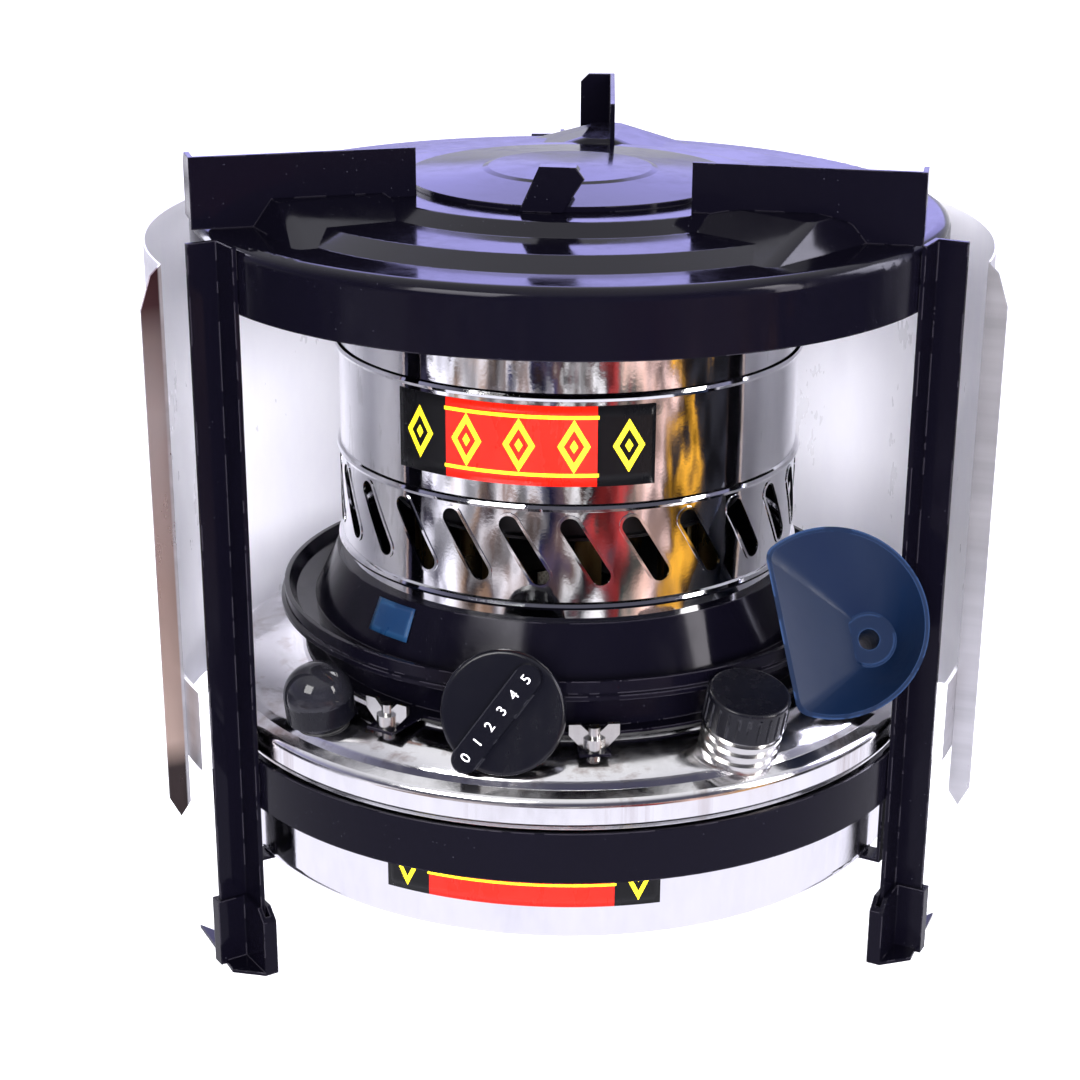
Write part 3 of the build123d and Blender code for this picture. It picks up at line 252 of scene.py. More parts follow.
# %% Floor as seen and as mirrored
PLAIN_TO, SHOP_FROM = 0.3, 0.4
clumps = node(tree, "ShaderNodeTexNoise", Scale=11.0, Detail=1.0, Vector=spot).outputs["Fac"]
broken = mix_color(tree, 1.0, shop, map_range(tree, clumps, 0.4, 0.6, 0.25, 1.15), "MULTIPLY")
outside = map_range(tree, vector_math(tree, "LENGTH", spot), PLAIN_TO, SHOP_FROM)
ringed = mix_color(tree, outside, (0.74, 0.73, 0.82), broken)
mirrored = node(tree, "ShaderNodeEmission", Color=ringed, Strength=1.45)
seen = node(
    tree, "ShaderNodeBsdfPrincipled", Base_Color=(0.92, 0.92, 0.93), Roughness=0.9,
    Emission_Color=(1, 1, 1), Emission_Strength=0.42,
)
mirror_ray = node(tree, "ShaderNodeLightPath").outputs["Is Glossy Ray"]
switch_shader(
    tree, mirror_ray, seen.outputs["BSDF"], mirrored.outputs["Emission"], "ShaderNodeOutputMaterial"
)
floor_mesh.materials.append(floor_paint)
print("floor plain within", PLAIN_TO, "m")

# %% [markdown]
# Polished metal shows the room more than itself, so the world matters as much as the lamps. The sky
# is bright overhead and behind, and falls off to a dim wall on the camera's side, which is what
# keeps black enamel and black plastic black. The lens itself sees a plain white backdrop instead,
# as the photograph does. The picture is shown with the Standard view transform, since the
# photograph has clean whites and strong colours.

# %% World
SKY_COLOURS = (
    (0.0, (0.85, 0.85, 0.95)), (0.25, (0.5, 0.49, 0.8)), (0.6, (0.9, 0.9, 1.0)),
    (1.0, (1.0, 1.0, 1.0)),
)
WALL_SHADE = 0.16
bpy.context.scene.view_settings.view_transform = "Standard"
world = bpy.data.worlds.new("studio_world")
bpy.context.scene.world = world
world.use_nodes = True
tree = world.node_tree
tree.nodes.clear()
direction = node(tree, "ShaderNodeTexCoord").outputs["Generated"]
sky_parts = node(tree, "ShaderNodeSeparateXYZ", Vector=direction).outputs
wall = map_range(tree, sky_parts["Y"], -0.5, 0.35, WALL_SHADE)
overhead = map_range(tree, sky_parts["Z"], 0.45, 0.85)
sky = ramp_node(tree, SKY_COLOURS, sky_parts["Z"])
shaded = mix_color(tree, 1.0, sky, math_node(tree, "MAXIMUM", wall, overhead), "MULTIPLY")
room = node(tree, "ShaderNodeBackground", Color=shaded, Strength=0.9).outputs["Background"]
backdrop = node(tree, "ShaderNodeBackground", Color=(1.0, 1.0, 1.0)).outputs["Background"]
lens_ray = node(tree, "ShaderNodeLightPath").outputs["Is Camera Ray"]
switch_shader(tree, lens_ray, room, backdrop, "ShaderNodeOutputWorld")
print("sky colours", len(SKY_COLOURS))

# %% [markdown]
# Six soft area lamps: a broad key from the upper left, a tall strip at the right for highlights on
# the drum and the tank, a low fill from the camera's side that reaches under the plate to the wind
# shield, and a big lilac panel behind, which is what the wet-looking top plate reflects towards the
# camera. Two smaller panels stand where the ends of the pressed tunnels mirror them. The fill is
# hidden from mirrored rays, since black gloss would show it as a grey veil. Each row holds a lamp's
# place, the height on the middle line that it looks at, its width and height, power and colour.

# %% Lamps
LAMPS = {
    "key_panel": ((-1.0, -1.3, 1.35), 0.12, (0.9, 0.9), 30, (1.0, 0.99, 0.98)),
    "right_strip": ((1.2, -0.7, 0.6), 0.14, (0.25, 1.1), 12, (1.0, 0.97, 0.95)),
    "front_fill": ((0.1, -2.2, 0.75), 0.15, (1.6, 0.6), 180, (0.96, 0.95, 1.0)),
    "back_panel": ((0.05, 1.7, 0.95), 0.2, (2.2, 0.9), 11, (0.4, 0.37, 1.0)),
    "left_panel": ((-1.3, 0.95, 0.55), 0.24, (0.6, 0.8), 14, (0.86, 0.85, 1.0)),
    "right_panel": ((1.55, 0.25, 0.8), 0.24, (0.6, 0.8), 14, (0.86, 0.85, 1.0)),
}
for name, (place, aim_height, size, power, color) in LAMPS.items():
    data = bpy.data.lights.new(name, "AREA")
    data.shape = "RECTANGLE"
    data.size, data.size_y = size
    data.energy = power
    data.color = color
    lamp = add_object(name, data)
    lamp.location = place
    aim = Vector((0, 0, aim_height)) - Vector(place)
    lamp.rotation_euler = aim.to_track_quat("-Z", "Y").to_euler()
bpy.data.objects["front_fill"].visible_glossy = False
print("lamps", sorted(LAMPS))

# %% [markdown]
# Several finishes share the same flaws: soft smears from handling, tiny specks of dust, and paint
# that is thinner along edges. Each flaw is a node group, built once, that gives out a value, a
# colour or a normal. The shader itself stays in the material, where the export can read it. These
# helpers build an empty group with named inputs and outputs, and read a point's place and height.

# %% Group tools


def new_group(name, inputs, outputs):
    group = bpy.data.node_groups.new(name, "ShaderNodeTree")
    for label, value in inputs.items():
        socket = group.interface.new_socket(label, in_out="INPUT", socket_type="NodeSocketFloat")
        socket.default_value = value
    for label, kind in outputs.items():
        group.interface.new_socket(label, in_out="OUTPUT", socket_type=f"NodeSocket{kind}")
    source = group.nodes.new("NodeGroupInput")
    sink = group.nodes.new("NodeGroupOutput")
    return group, source.outputs, sink


def object_place(tree):
    return node(tree, "ShaderNodeTexCoord").outputs["Object"]


def object_height(tree):
    return node(tree, "ShaderNodeSeparateXYZ", Vector=object_place(tree)).outputs["Z"]


# %% [markdown]
# Smears are low, stretched noise: a finger or a cloth leaves long soft marks. One noise at a
# coarse scale is multiplied by a finer one, so the marks break up instead of looking like clouds.
# On the polished metals the mask also darkens the colour, partly as painted reflection streaks.

# %% Smears
smears, given, sink = new_group(
    "handling_smears",
    {"Scale": 30.0, "Low": 0.08, "High": 0.25},
    {"Value": "Float", "Mask": "Float"},
)
stretched = node(
    smears, "ShaderNodeMapping", Vector=object_place(smears), Scale=(1.0, 1.0, 0.35)
).outputs["Vector"]
coarse = node(
    smears, "ShaderNodeTexNoise", Vector=stretched, Scale=given["Scale"], Detail=4.0, Roughness=0.55
)
fine_scale = math_node(smears, "MULTIPLY", given["Scale"], 7.0)
fine = node(
    smears, "ShaderNodeTexNoise", Vector=stretched, Scale=fine_scale, Detail=3.0, Roughness=0.6
)
fine_share = math_node(smears, "ADD", fine.outputs["Fac"], 0.5)
mixed = math_node(smears, "MULTIPLY", coarse.outputs["Fac"], fine_share)
spread = map_range(smears, mixed, 0.35, 0.7, given["Low"], given["High"])
fill(smears, sink, Value=spread, Mask=mixed)
print("group", smears.name)

# %% [markdown]
# Dust is a scatter of pin-sized dots. A Voronoi texture gives one random point per cell, and
# keeping only what lies very near a point leaves dots of even size with empty space between.
# A coarse noise then keeps the dots in patches, because dust settles unevenly.

# %% Dust specks
dust, given, sink = new_group("dust_specks", {"Scale": 260.0, "Size": 0.12}, {"Mask": "Float"})
place = object_place(dust)
cells = node(dust, "ShaderNodeTexVoronoi", Vector=place, Scale=given["Scale"])
near = math_node(dust, "LESS_THAN", cells.outputs["Distance"], given["Size"])
patches = node(dust, "ShaderNodeTexNoise", Vector=place, Scale=22.0, Detail=2.0)
dusty_here = math_node(dust, "GREATER_THAN", patches.outputs["Fac"], 0.52)
fill(dust, sink, Mask=math_node(dust, "MULTIPLY", near, dusty_here))
print("group", dust.name)

# %% [markdown]
# Enamel runs thin over a folded edge and rubs through there first. The Bevel node gives a rounded
# normal, and where it leans away from the true one there is an edge. Noise breaks the line up.

# %% Edge wear
wear, given, sink = new_group(
    "edge_wear", {"Width": 0.0006, "Amount": 0.5}, {"Mask": "Float", "Rounded Normal": "Vector"}
)
rounded = node(wear, "ShaderNodeBevel", samples=4, Radius=given["Width"]).outputs["Normal"]
true_normal = node(wear, "ShaderNodeNewGeometry").outputs["Normal"]
same_way = vector_math(wear, "DOT_PRODUCT", rounded, true_normal)
lean = math_node(wear, "SUBTRACT", 1.0, same_way, clamp=True)
edge = math_node(wear, "MULTIPLY", lean, 6.0, clamp=True)
breakup = node(wear, "ShaderNodeTexNoise", Vector=object_place(wear), Scale=90.0, Detail=5.0)
keep = math_node(wear, "GREATER_THAN", breakup.outputs["Fac"], 0.48)
broken_edge = math_node(wear, "MULTIPLY", edge, keep)
rubbed_through = math_node(wear, "MULTIPLY", broken_edge, given["Amount"], clamp=True)
fill(wear, sink, Mask=rubbed_through, Rounded_Normal=rounded)
print("group", wear.name)

# %% [markdown]
# Thin sheet is never quite flat, and a mirror shows that at once. This group gives a height of
# broad shallow waves with a little fine grain on top, which goes to a Bump node in the material.

# %% Sheet waviness
waves, given, sink = new_group("sheet_waves", {"Scale": 18.0, "Grain": 0.02}, {"Height": "Float"})
place = object_place(waves)
broad = node(
    waves, "ShaderNodeTexNoise", Vector=place, Scale=given["Scale"], Detail=1.0, Roughness=0.4
)
grain = node(waves, "ShaderNodeTexNoise", Vector=place, Scale=900.0, Detail=2.0)
small = math_node(waves, "MULTIPLY", grain.outputs["Fac"], given["Grain"])
fill(waves, sink, Height=math_node(waves, "ADD", broad.outputs["Fac"], small))
print("group", waves.name)

# %% [markdown]
# The stove is round, and stains and heat marks follow its roundness. This group measures every
# point from the burner's axis: how far out it is, which way round, on which side, and whether it
# faces outward. Two of the sheet metals use it to tell crown from rim, fold from sheet and the
# sheet's inside from its outside.

# %% Places round the axis
around, given, sink = new_group(
    "around_axis", {}, {"Radius": "Float", "Turn": "Float", "Side": "Float", "Outer": "Float"}
)
from_axis = vector_math(around, "SUBTRACT", object_place(around), AXIS)
level_only = vector_math(around, "MULTIPLY", from_axis, (1, 1, 0))
axis_parts = node(around, "ShaderNodeSeparateXYZ", Vector=from_axis).outputs
flat_normal = node(around, "ShaderNodeNewGeometry").outputs["True Normal"]
away = vector_math(around, "DOT_PRODUCT", level_only, flat_normal)
fill(
    around, sink,
    Radius=vector_math(around, "LENGTH", level_only),
    Turn=math_node(around, "ARCTAN2", axis_parts["Y"], axis_parts["X"]),
    Side=axis_parts["X"],
    Outer=math_node(around, "GREATER_THAN", away, 0.0),
)
print("group", around.name)

# %% [markdown]
# Every finish starts from the same bare material: a Principled shader with its constant values
# set on its own sockets. Helpers then plug a group into it, so that each finish reads as a recipe:
# smears drive the roughness, and waves go through a Bump node to the normal.

# %% Material tools


def finish(name, color, roughness, **sockets):
    material = bpy.data.materials.new(name)
    material.use_nodes = True
    material.diffuse_color = (*color, 1)
    tree = material.node_tree
    tree.nodes.clear()
    shader = node(
        tree, "ShaderNodeBsdfPrincipled", Base_Color=color, Roughness=roughness, **sockets
    )
    node(tree, "ShaderNodeOutputMaterial", Surface=shader.outputs["BSDF"])
    return material, tree, shader


def place_group(tree, group, **values):
    return node(tree, "ShaderNodeGroup", node_tree=group, **values).outputs


def add_smears(tree, shader, scale, low, high):
    smear = place_group(tree, smears, Scale=scale, Low=low, High=high)
    fill(tree, shader, Roughness=smear["Value"])
    return smear["Mask"]


def add_bump(tree, shader, height, strength, distance):
    bump = node(tree, "ShaderNodeBump", Height=height, Strength=strength, Distance=distance)
    fill(tree, shader, Normal=bump.outputs["Normal"])
    return bump


def add_waves(tree, shader, scale, grain, strength, distance):
    sheet = place_group(tree, waves, Scale=scale, Grain=grain)
    return add_bump(tree, shader, sheet["Height"], strength, distance)


# %% [markdown]
# Stove enamel is black glass fused to steel: a dark base under a hard clear coat. Its shine is
# tinted lilac here, as the photograph shows, and the edges wear to a dull grey. Enamel is poured
# on wet and lies thicker on level faces, so these get some extra clear coat.

# %% Black enamel
ENAMEL = (0.0015, 0.0013, 0.003)
LEVEL_COAT = 0.35
black_enamel, tree, shader = finish(
    "black_enamel", ENAMEL, 0.14, IOR=1.2, Specular_Tint=(0.9, 0.87, 1.0), Coat_Roughness=0.1
)
add_smears(tree, shader, 26.0, 0.07, 0.26)
worn = place_group(tree, wear, Width=0.0007, Amount=0.35)
specks = place_group(tree, dust, Scale=420.0, Size=0.07)
rubbed = mix_color(tree, worn["Mask"], ENAMEL, (0.06, 0.055, 0.07))
dusty = mix_color(tree, specks["Mask"], rubbed, (0.02, 0.02, 0.027))
bump = add_waves(tree, shader, 38.0, 0.03, 0.2, 0.0009)
fill(tree, bump, Normal=worn["Rounded Normal"])
shown_normal = node(tree, "ShaderNodeNewGeometry").outputs["Normal"]
facing_up = node(tree, "ShaderNodeSeparateXYZ", Vector=shown_normal).outputs["Z"]
pooled = map_range(tree, facing_up, 0.3, 0.8, 0.0, LEVEL_COAT)
fill(tree, shader, Base_Color=dusty, Coat_Weight=pooled)
print("finish", black_enamel.name)

# %% [markdown]
# The tank and the drum are polished stainless. A perfect mirror would look computed, so the
# roughness follows the smears, and broad waves bend what the sheet reflects. The smears also
# darken the colour in long upright streaks: partly handling smears, partly painted reflection
# streaks. Plated fittings, the plain steel inside the burner and turned brass follow the same
# recipe with other values.

# %% Polished steel
SMEAR_AND_STREAK_TONE = 0.84


def polished(name, color, low, high, wave_scale, wave_depth):
    material, tree, shader = finish(name, color, low, Metallic=1.0)
    smeared = add_smears(tree, shader, 34.0, low, high)
    # Smeared places get a darker colour: partly handling smears, partly painted reflection streaks.
    smeared_and_streaked = tuple(v * SMEAR_AND_STREAK_TONE for v in color)
    fill(tree, shader, Base_Color=mix_color(tree, smeared, color, smeared_and_streaked))
    add_waves(tree, shader, wave_scale, 0.015, 0.35, wave_depth)
    return material


polished_steel = polished("polished_steel", (0.93, 0.92, 0.97), 0.08, 0.24, 14.0, 0.0016)
drum_steel = polished("drum_steel", (0.9, 0.9, 0.93), 0.03, 0.1, 22.0, 0.0008)
plated_steel = polished("plated_steel", (0.74, 0.73, 0.72), 0.12, 0.3, 60.0, 0.0006)
burner_steel = polished("burner_steel", (0.09, 0.09, 0.1), 0.3, 0.5, 40.0, 0.0006)
brass = polished("turned_brass", (0.74, 0.53, 0.24), 0.2, 0.38, 60.0, 0.0004)
print("metals", polished_steel.name, drum_steel.name, plated_steel.name)

# %% [markdown]
# The tank's top is crowned: it curves down faster towards the seam than a plain cone. A Bump node
# whose height falls with the distance from the axis leans the shading the same way, and its normal
# goes on to the bump that the polished recipe made.

# %% Crown of the tank top
CROWN_FROM, CROWN_TO = 0.09, 0.1185
CROWN_DROP = 0.0135
tank_top_steel = polished("tank_top_steel", (0.93, 0.92, 0.95), 0.08, 0.24, 14.0, 0.0016)
tree = tank_top_steel.node_tree
shader = next(n for n in tree.nodes if n.type == "BSDF_PRINCIPLED")
bump = next(n for n in tree.nodes if n.type == "BUMP")
measured = place_group(tree, around)
outward_share = map_range(tree, measured["Radius"], CROWN_FROM, CROWN_TO)
drop = math_node(tree, "MULTIPLY", math_node(tree, "POWER", outward_share, 2.0), -CROWN_DROP)
crowning = node(tree, "ShaderNodeBump", Height=drop, Strength=1.0, Distance=1.0)
fill(tree, bump, Normal=crowning.outputs["Normal"])
print("crown drops", CROWN_DROP, "m")

# %% [markdown]
# Brown streaks on the tank's top are painted reflections. Noise stretched along the radius tints
# the steel: its place is made of the turn round the axis and of the distance from it.

# %% Painted reflection streaks on the tank top
tone = shader.inputs["Base Color"].links[0].from_socket
streak_place = node(
    tree, "ShaderNodeCombineXYZ",
    X=math_node(tree, "MULTIPLY", measured["Turn"], 6.0),
    Y=math_node(tree, "MULTIPLY", measured["Radius"], 60.0),
).outputs["Vector"]
streaks = node(
    tree, "ShaderNodeTexNoise", Vector=streak_place, Scale=1.3, Detail=5.0, Roughness=0.6
)
# Brown streaks painted in as reflections on the tank's top.
painted_reflection_share = map_range(tree, streaks.outputs["Fac"], 0.53, 0.75, 0.0, 0.85)
fill(tree, shader, Base_Color=mix_color(tree, painted_reflection_share, tone, (0.26, 0.16, 0.13)))
print("finish", tank_top_steel.name)

# %% [markdown]
# The wind shield is cheaper sheet, milled bright rather than polished, so it glows more than it
# mirrors. The outside is plain mill sheet, darker and more metallic, with rubbed marks along the
# roll. One material does for both, because the group tells which way a face looks.

# %% Shield sheet
INSIDE_METAL, OUTSIDE_METAL = 0.15, 0.9
shield_steel, tree, shader = finish(
    "shield_steel", (0.93, 0.92, 0.98), 0.34, Metallic=INSIDE_METAL
)
smeared = add_smears(tree, shader, 30.0, 0.26, 0.5)
inside_tone = mix_color(tree, smeared, (0.97, 0.965, 1.0), (0.88, 0.87, 0.94))
rolled = node(tree, "ShaderNodeMapping", Vector=object_place(tree), Scale=(6.0, 6.0, 160.0))
roll_marks = node(
    tree, "ShaderNodeTexNoise", Vector=rolled.outputs["Vector"], Scale=1.0, Detail=5.0
).outputs["Fac"]
outside_tone = mix_color(tree, roll_marks, (0.34, 0.34, 0.36), (0.66, 0.65, 0.69))
measured = place_group(tree, around)
sheet_tone = mix_color(tree, measured["Outer"], inside_tone, outside_tone)
metal_share = map_range(tree, measured["Outer"], 0.0, 1.0, INSIDE_METAL, OUTSIDE_METAL)
fill(tree, shader, Metallic=metal_share)
add_waves(tree, shader, 11.0, 0.006, 0.35, 0.003)
print("finish", shield_steel.name)

# %% [markdown]
# The shield's folded ends stand out past the sheet, and the left one gets a painted reflection:
# brown and grey bands with dark ends. The distance from the axis tells the fold from the sheet,
# and a ramp along the height gives the bands.

# %% Painted reflection on the left fold
FOLD_REFLECTION_COLOURS = (
    (0.0, (0.04, 0.03, 0.03)), (0.12, (0.04, 0.03, 0.03)), (0.17, (0.44, 0.33, 0.28)),
    (0.45, (0.34, 0.25, 0.22)), (0.75, (0.4, 0.36, 0.36)), (0.87, (0.24, 0.2, 0.2)),
    (0.93, (0.07, 0.035, 0.04)), (1.0, (0.05, 0.02, 0.025)),
)
FOLD_REFLECTION_LOW, FOLD_REFLECTION_HIGH = 0.045, 0.24
SHEET_OUT, FOLD_OUT = 0.1402, 0.1407
past_sheet = map_range(tree, measured["Radius"], SHEET_OUT, FOLD_OUT)
left_side = math_node(tree, "LESS_THAN", measured["Side"], 0.0)
left_fold = math_node(tree, "MULTIPLY", past_sheet, left_side)
# The ramp paints the fold's reflection: brown and grey bands, dark at both ends.
fold_reflection = ramp_node(tree, FOLD_REFLECTION_COLOURS, map_range(tree, object_height(tree), FOLD_REFLECTION_LOW, FOLD_REFLECTION_HIGH))
fill(tree, shader, Base_Color=mix_color(tree, left_fold, sheet_tone, fold_reflection))
print("scorch stops", len(FOLD_REFLECTION_COLOURS))

# %% [markdown]
# The float is pressed cork: a tan body with darker grains, and far too rough to shine. A Voronoi
# texture's distance from the cells' points gives both the grains' colour and their relief.

# %% Float cork
float_cork, tree, shader = finish("float_cork", (0.55, 0.42, 0.26), 0.8)
cells = node(tree, "ShaderNodeTexVoronoi", Vector=object_place(tree), Scale=700.0)
grains = cells.outputs["Distance"]
fill(tree, shader, Base_Color=mix_color(tree, grains, (0.6, 0.45, 0.27), (0.22, 0.13, 0.07)))
add_bump(tree, shader, grains, 0.5, 0.0004)
print("finish", float_cork.name)

# %% [markdown]
# Plastics: the knob and the cap are glossy black mouldings with a faint orange-peel skin, and the
# funnel is a navy moulding, a little lighter where it is thin and rubbed. Rubber and painted metal
# have the same kind of skin, so the same recipe makes the seals and the gauge's pointer.

# %% Plastics


def plastic(name, color, rubbed, low, high, peel):
    material, tree, shader = finish(name, color, low, IOR=1.36)
    add_smears(tree, shader, 48.0, low, high)
    worn = place_group(tree, wear, Width=0.0009, Amount=0.6)
    fill(tree, shader, Base_Color=mix_color(tree, worn["Mask"], color, rubbed))
    add_waves(tree, shader, peel, 0.2, 0.15, 0.0003)
    return material


black_plastic = plastic(
    "black_plastic", (0.002, 0.002, 0.0035), (0.025, 0.025, 0.03), 0.18, 0.34, 300.0
)
navy_plastic = plastic(
    "navy_plastic", (0.0016, 0.0055, 0.018), (0.015, 0.035, 0.09), 0.3, 0.5, 180.0
)
seal_rubber = plastic("seal_rubber", (0.02, 0.02, 0.02), (0.06, 0.06, 0.06), 0.7, 0.9, 400.0)
signal_paint = plastic("signal_paint", (0.6, 0.03, 0.02), (0.75, 0.2, 0.12), 0.35, 0.5, 300.0)
print("plastics", black_plastic.name, navy_plastic.name)

# %% [markdown]
# Wicks are braided cotton. Two crossed wave textures make the braid, and the top few millimetres
# are charred, which a range of heights shows.

# %% Wick cotton
STRAND_LEAN = 0.6
CHAR_FROM, CHAR_TO = 0.143, 0.149
wick_cotton, tree, shader = finish("wick_cotton", (0.78, 0.74, 0.64), 0.9)
strands = []
for lean in (STRAND_LEAN, -STRAND_LEAN):
    turned = node(
        tree, "ShaderNodeMapping", Vector=object_place(tree), Rotation=(0.0, lean, 0.0)
    ).outputs["Vector"]
    strand = node(tree, "ShaderNodeTexWave", Vector=turned, Scale=220.0, Distortion=0.6)
    strands.append(strand.outputs["Fac"])
braid = math_node(tree, "MAXIMUM", *strands)
cotton = mix_color(tree, braid, (0.52, 0.47, 0.37), (0.8, 0.76, 0.66))
charred = map_range(tree, object_height(tree), CHAR_FROM, CHAR_TO)
fill(tree, shader, Base_Color=mix_color(tree, charred, cotton, (0.02, 0.018, 0.016)))
add_bump(tree, shader, braid, 0.6, 0.0005)
print("finish", wick_cotton.name)

# %% [markdown]
# The gauge window is a small smoked dome. Glass keeps plain metallic and transmission values on
# the shader, so that the export can carry them.

# %% Gauge window
gauge_window, tree, shader = finish(
    "gauge_window", (0.012, 0.012, 0.016), 0.05, Transmission_Weight=0.45, IOR=1.4
)
add_smears(tree, shader, 90.0, 0.03, 0.12)
print("finish", gauge_window.name)

# %% [markdown]
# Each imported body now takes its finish. The meshes stay as they are, and only the material slots
# change. Parts that come once per leg are named from the part and its side.

# %% Assign finishes
enamelled = ["top_plate", "lower_band", "burner_neck", "burner_bowl"]
enamelled += ["lid", "lid_handle", "lid_rivet"]
for part in ("pan_support", "leg", "foot", "tank_rest"):
    enamelled += [f"{part}_{side}" for side in ("left", "right", "rear")]
FINISHES = (
    (black_enamel, enamelled),
    (shield_steel, ["wind_shield", "shield_clips"]),
    (polished_steel, ["tank_lower_shell"]),
    (tank_top_steel, ["tank_upper_shell"]),
    (drum_steel, ["burner_drum"]),
    (plated_steel, [
        "shield_rivets", "clamp_studs", "wing_nuts", "filler_neck", "wick_shaft", "knob_screw",
        "float_arm"]),
    (burner_steel, [
        "wick_plate", "gallery_plate", "outer_flame_tube", "inner_flame_tube", "flame_spreader",
        "wick_carrier", "wick_rack"]),
    (brass, ["wick_tubes", "pinion", "shaft_bush"]),
    (wick_cotton, ["wicks"]),
    (seal_rubber, ["filler_seal", "gauge_seal", "burner_gasket"]),
    (black_plastic, ["knob", "filler_cap", "gauge_body"]),
    (gauge_window, ["gauge_lens"]),
    (signal_paint, ["gauge_pointer"]),
    (float_cork, ["gauge_float"]),
    (navy_plastic, ["funnel"]),
)
dressed = 0
for material, names in FINISHES:
    for name in names:
        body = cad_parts[name]
        if not body.data.materials:
            body.data.materials.append(material)
        for slot in body.material_slots:
            slot.material = material
        dressed += 1
print("dressed", dressed, "of", len(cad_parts))

# %% [markdown]
# Printed labels are thin film bent round the metal. Each is a grid of points laid on the surface it
# sticks to, a tenth of a millimetre out, with its own UV map so that the print can be drawn in
# label coordinates: across from 0 to 1 and up from 0 to 1. The ends are given as the camera sees
# them round the stove.

# %% Bent film
FILM_THICK = 0.00008


def bent_film(name, material, surface, seen_ends, columns, rows, body="stove"):
    mesh = bpy.data.meshes.new(name)
    mesh.materials.append(material)
    start, end = (seen_azimuth(azimuth) for azimuth in seen_ends)
    work = bmesh.new()
    sheet = work.loops.layers.uv.new("print")
    grid = []
    for row in range(rows + 1):
        radius, height = surface(row / rows)
        azimuths = (start + (end - start) * column / columns for column in range(columns + 1))
        grid.append([work.verts.new(polar(radius, azimuth, height)) for azimuth in azimuths])
    for row in range(rows):
        for column in range(columns):
            corners = ((row, column), (row, column + 1), (row + 1, column + 1), (row + 1, column))
            face = work.faces.new([grid[i][j] for i, j in corners])
            face.smooth = True
            for loop, (i, j) in zip(face.loops, corners):
                loop[sheet].uv = (j / columns, i / rows)
    work.to_mesh(mesh)
    work.free()
    film = add_object(name, mesh)
    thick = film.modifiers.new("film", "SOLIDIFY")
    thick.thickness = FILM_THICK
    thick.offset = 1.0
    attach(film, body)
    return film


# %% [markdown]
# The print is three flat inks, and arithmetic on the UVs decides which one a point gets, so the
# edges stay sharp at any size. This step finds the middle field and the rows of lozenges: inside
# each step across, the distance sideways plus the distance up makes a lozenge, with a hollow ring
# and a solid core.

# %% Lozenges of the label print
RING_SHARE, CORE_SHARE = 0.62, 0.25
label_print, given, sink = new_group(
    "label_print",
    {"Field Half": 0.29, "Marks": 5.0, "Mark Size": 0.3, "Mark Height": 0.9, "Field Marks": 1.0,
     "Rule": 0.36},
    {"Color": "Color"},
)


def step(operation, *values, **more):
    return math_node(label_print, operation, *values, **more)


def off(value, target):
    return step("ABSOLUTE", step("SUBTRACT", value, target))


print_place = node(label_print, "ShaderNodeUVMap", uv_map="print").outputs["UV"]
print_parts = node(label_print, "ShaderNodeSeparateXYZ", Vector=print_place).outputs
from_middle = off(print_parts["X"], 0.5)
from_mid_up = off(print_parts["Y"], 0.5)
in_field = step("LESS_THAN", from_middle, given["Field Half"])
step_across = step("ADD", step("MULTIPLY", from_middle, given["Marks"]), 0.5)
mark_across = off(step("FRACT", step_across), 0.5)
lozenge = step("ADD", mark_across, step("MULTIPLY", from_mid_up, given["Mark Height"]))
filled = step("LESS_THAN", lozenge, given["Mark Size"])
hollow = step("GREATER_THAN", lozenge, step("MULTIPLY", given["Mark Size"], RING_SHARE))
core = step("LESS_THAN", lozenge, step("MULTIPLY", given["Mark Size"], CORE_SHARE))
mark = step("ADD", step("MULTIPLY", filled, hollow), core, clamp=True)
allowed = step("MAXIMUM", step("SUBTRACT", 1.0, in_field), given["Field Marks"])
shown = step("MULTIPLY", mark, allowed)
print("label inputs", len(given) - 1)

# %% [markdown]
# Two thin rules run along the field, and a dark line closes it at both ends. Then the inks go on in
# the printer's order: black or red ground, the dark lines, and yellow for lozenges and rules.

# %% Rules and inks of the label print
RULE_HALF, LINE_HALF = 0.022, 0.006
BLACK_INK, RED_INK, YELLOW_INK = (0.002, 0.002, 0.0025), (0.4, 0.006, 0.002), (0.68, 0.5, 0.01)
on_rule = step("LESS_THAN", off(from_mid_up, given["Rule"]), RULE_HALF)
rule = step("MULTIPLY", on_rule, in_field)
end_line = step("LESS_THAN", off(from_middle, given["Field Half"]), LINE_HALF)
ground = mix_color(label_print, in_field, BLACK_INK, RED_INK)
lined = mix_color(label_print, end_line, ground, BLACK_INK)
yellow = step("ADD", shown, rule, clamp=True)
fill(label_print, sink, Color=mix_color(label_print, yellow, lined, YELLOW_INK))


def label_material(name, **values):
    material, tree, shader = finish(name, RED_INK, 0.3, IOR=1.3)
    art = place_group(tree, label_print, **values)
    fill(tree, shader, Base_Color=art["Color"])
    add_smears(tree, shader, 60.0, 0.22, 0.42)
    return material


print("group", label_print.name)

# %% [markdown]
# The drum's label is as wide as sixty-odd degrees of its wall and sits between the middle and the
# upper bead. The tank's label is half hidden behind the lower band. Both walls are upright, so the
# radius stays the same from the bottom of a label to its top.

# %% Labels on the drum and the tank


def upright_wall(radius, low, tall):
    return lambda share: (radius, low + tall * share)


drum_label = bent_film(
    "drum_label", label_material("drum_label_print"), upright_wall(77.9, 174, 26),
    (226.9, 290.5), 48, 6,
)
tank_print = label_material(
    "tank_label_print", Field_Half=0.34, Marks=2.38, Mark_Size=0.11, Mark_Height=0.26,
    Field_Marks=0.0, Rule=0.12,
)
tank_label = bent_film(
    "tank_label", tank_print, upright_wall(119.1, 48.6, 20), (241.9, 284.8), 36, 6
)
print("labels", len(drum_label.data.polygons), len(tank_label.data.polygons))

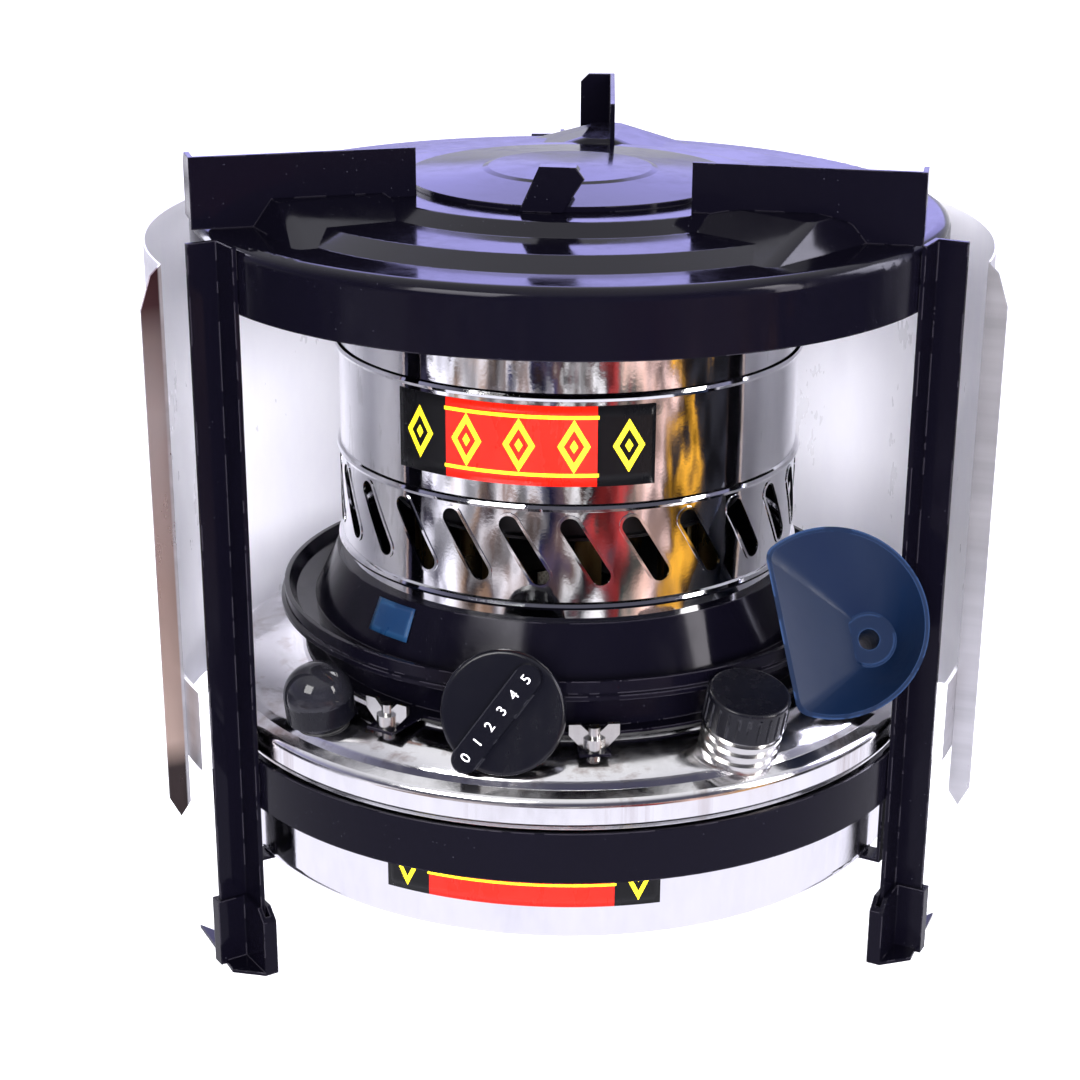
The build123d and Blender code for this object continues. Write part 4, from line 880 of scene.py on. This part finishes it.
# %% [markdown]
# A plain blue sticker lies on the burner bowl's cone, a little scuffed. It has no print at all, so
# a rubbed plastic finish is enough. It starts three tenths up the cone and covers six tenths of it.

# %% Sticker on the bowl
blue_film = plastic("blue_film", (0.0028, 0.014, 0.042), (0.008, 0.03, 0.07), 0.25, 0.45, 120.0)


def bowl_cone(share):
    up_cone = 0.3 + 0.6 * share
    return (88.25 - 8.0 * up_cone + 0.15, 112.1 + 17.0 * up_cone)


bowl_sticker = bent_film("bowl_sticker", blue_film, bowl_cone, (221, 233), 10, 6)
print("sticker", bowl_sticker.name)

# %% [markdown]
# The knob's face looks outward and eighteen degrees up, as the wick shaft does, and the grip lies
# on it at a slant. Numbers on the grip need that face's own axes: out of the face, along the grip
# and across it.

# %% Face of the knob
KNOB_AZIMUTH = 257
KNOB_TILT = math.radians(18)
GRIP_TURN = math.radians(56)
level = (polar(1, KNOB_AZIMUTH, 0) - AXIS).normalized()
outward = level * math.cos(KNOB_TILT) + Vector((0, 0, math.sin(KNOB_TILT)))
sideways = (polar(1, KNOB_AZIMUTH + 90, 0) - AXIS).normalized()
upright = outward.cross(sideways)
along = sideways * math.cos(GRIP_TURN) + upright * math.sin(GRIP_TURN)
across = upright * math.cos(GRIP_TURN) - sideways * math.sin(GRIP_TURN)
knob_face = polar(115.5, KNOB_AZIMUTH, 112.5)
print("knob face at", tuple(round(v, 4) for v in knob_face))

# %% [markdown]
# Plain numbers run along the knob's grip, painted white and a little chipped. A text curve gives
# clean digits: it is turned into a mesh, a paint's thickness deep, and laid on the grip's face.
# Because it rides on the knob, it turns with it.

# %% Numbers on the knob
DIGIT_SIZE = 0.0046
FIRST_DIGIT, DIGIT_STEP = -0.0175, 0.0062
PAINT_HALF, PAINT_LIFT = 0.00004, 0.00006
white_paint, tree, shader = finish("white_paint", (0.75, 0.75, 0.76), 0.5)
chipped = add_smears(tree, shader, 150.0, 0.4, 0.65)
fill(tree, shader, Base_Color=mix_color(tree, chipped, (0.82, 0.82, 0.83), (0.5, 0.5, 0.52)))
digit_mesh = bmesh.new()
for count, digit in enumerate("012345"):
    curve = bpy.data.curves.new("digit", "FONT")
    curve.body = digit
    curve.size = DIGIT_SIZE
    curve.extrude = PAINT_HALF
    curve.align_x = "CENTER"
    curve.align_y = "CENTER"
    written = add_object("digit", curve)
    shape = bpy.data.meshes.new_from_object(written)
    at = knob_face + along * (FIRST_DIGIT + DIGIT_STEP * count) + outward * PAINT_LIFT
    shape.transform(placing(along, across, outward, at))
    digit_mesh.from_mesh(shape)
    bpy.data.objects.remove(written)
    bpy.data.curves.remove(curve)
    bpy.data.meshes.remove(shape)
numbers_mesh = bpy.data.meshes.new("knob_numbers")
digit_mesh.to_mesh(numbers_mesh)
digit_mesh.free()
numbers_mesh.materials.append(white_paint)
knob_numbers = add_object("knob_numbers", numbers_mesh)
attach(knob_numbers, "knob")
print("digits", len(numbers_mesh.polygons), "faces")
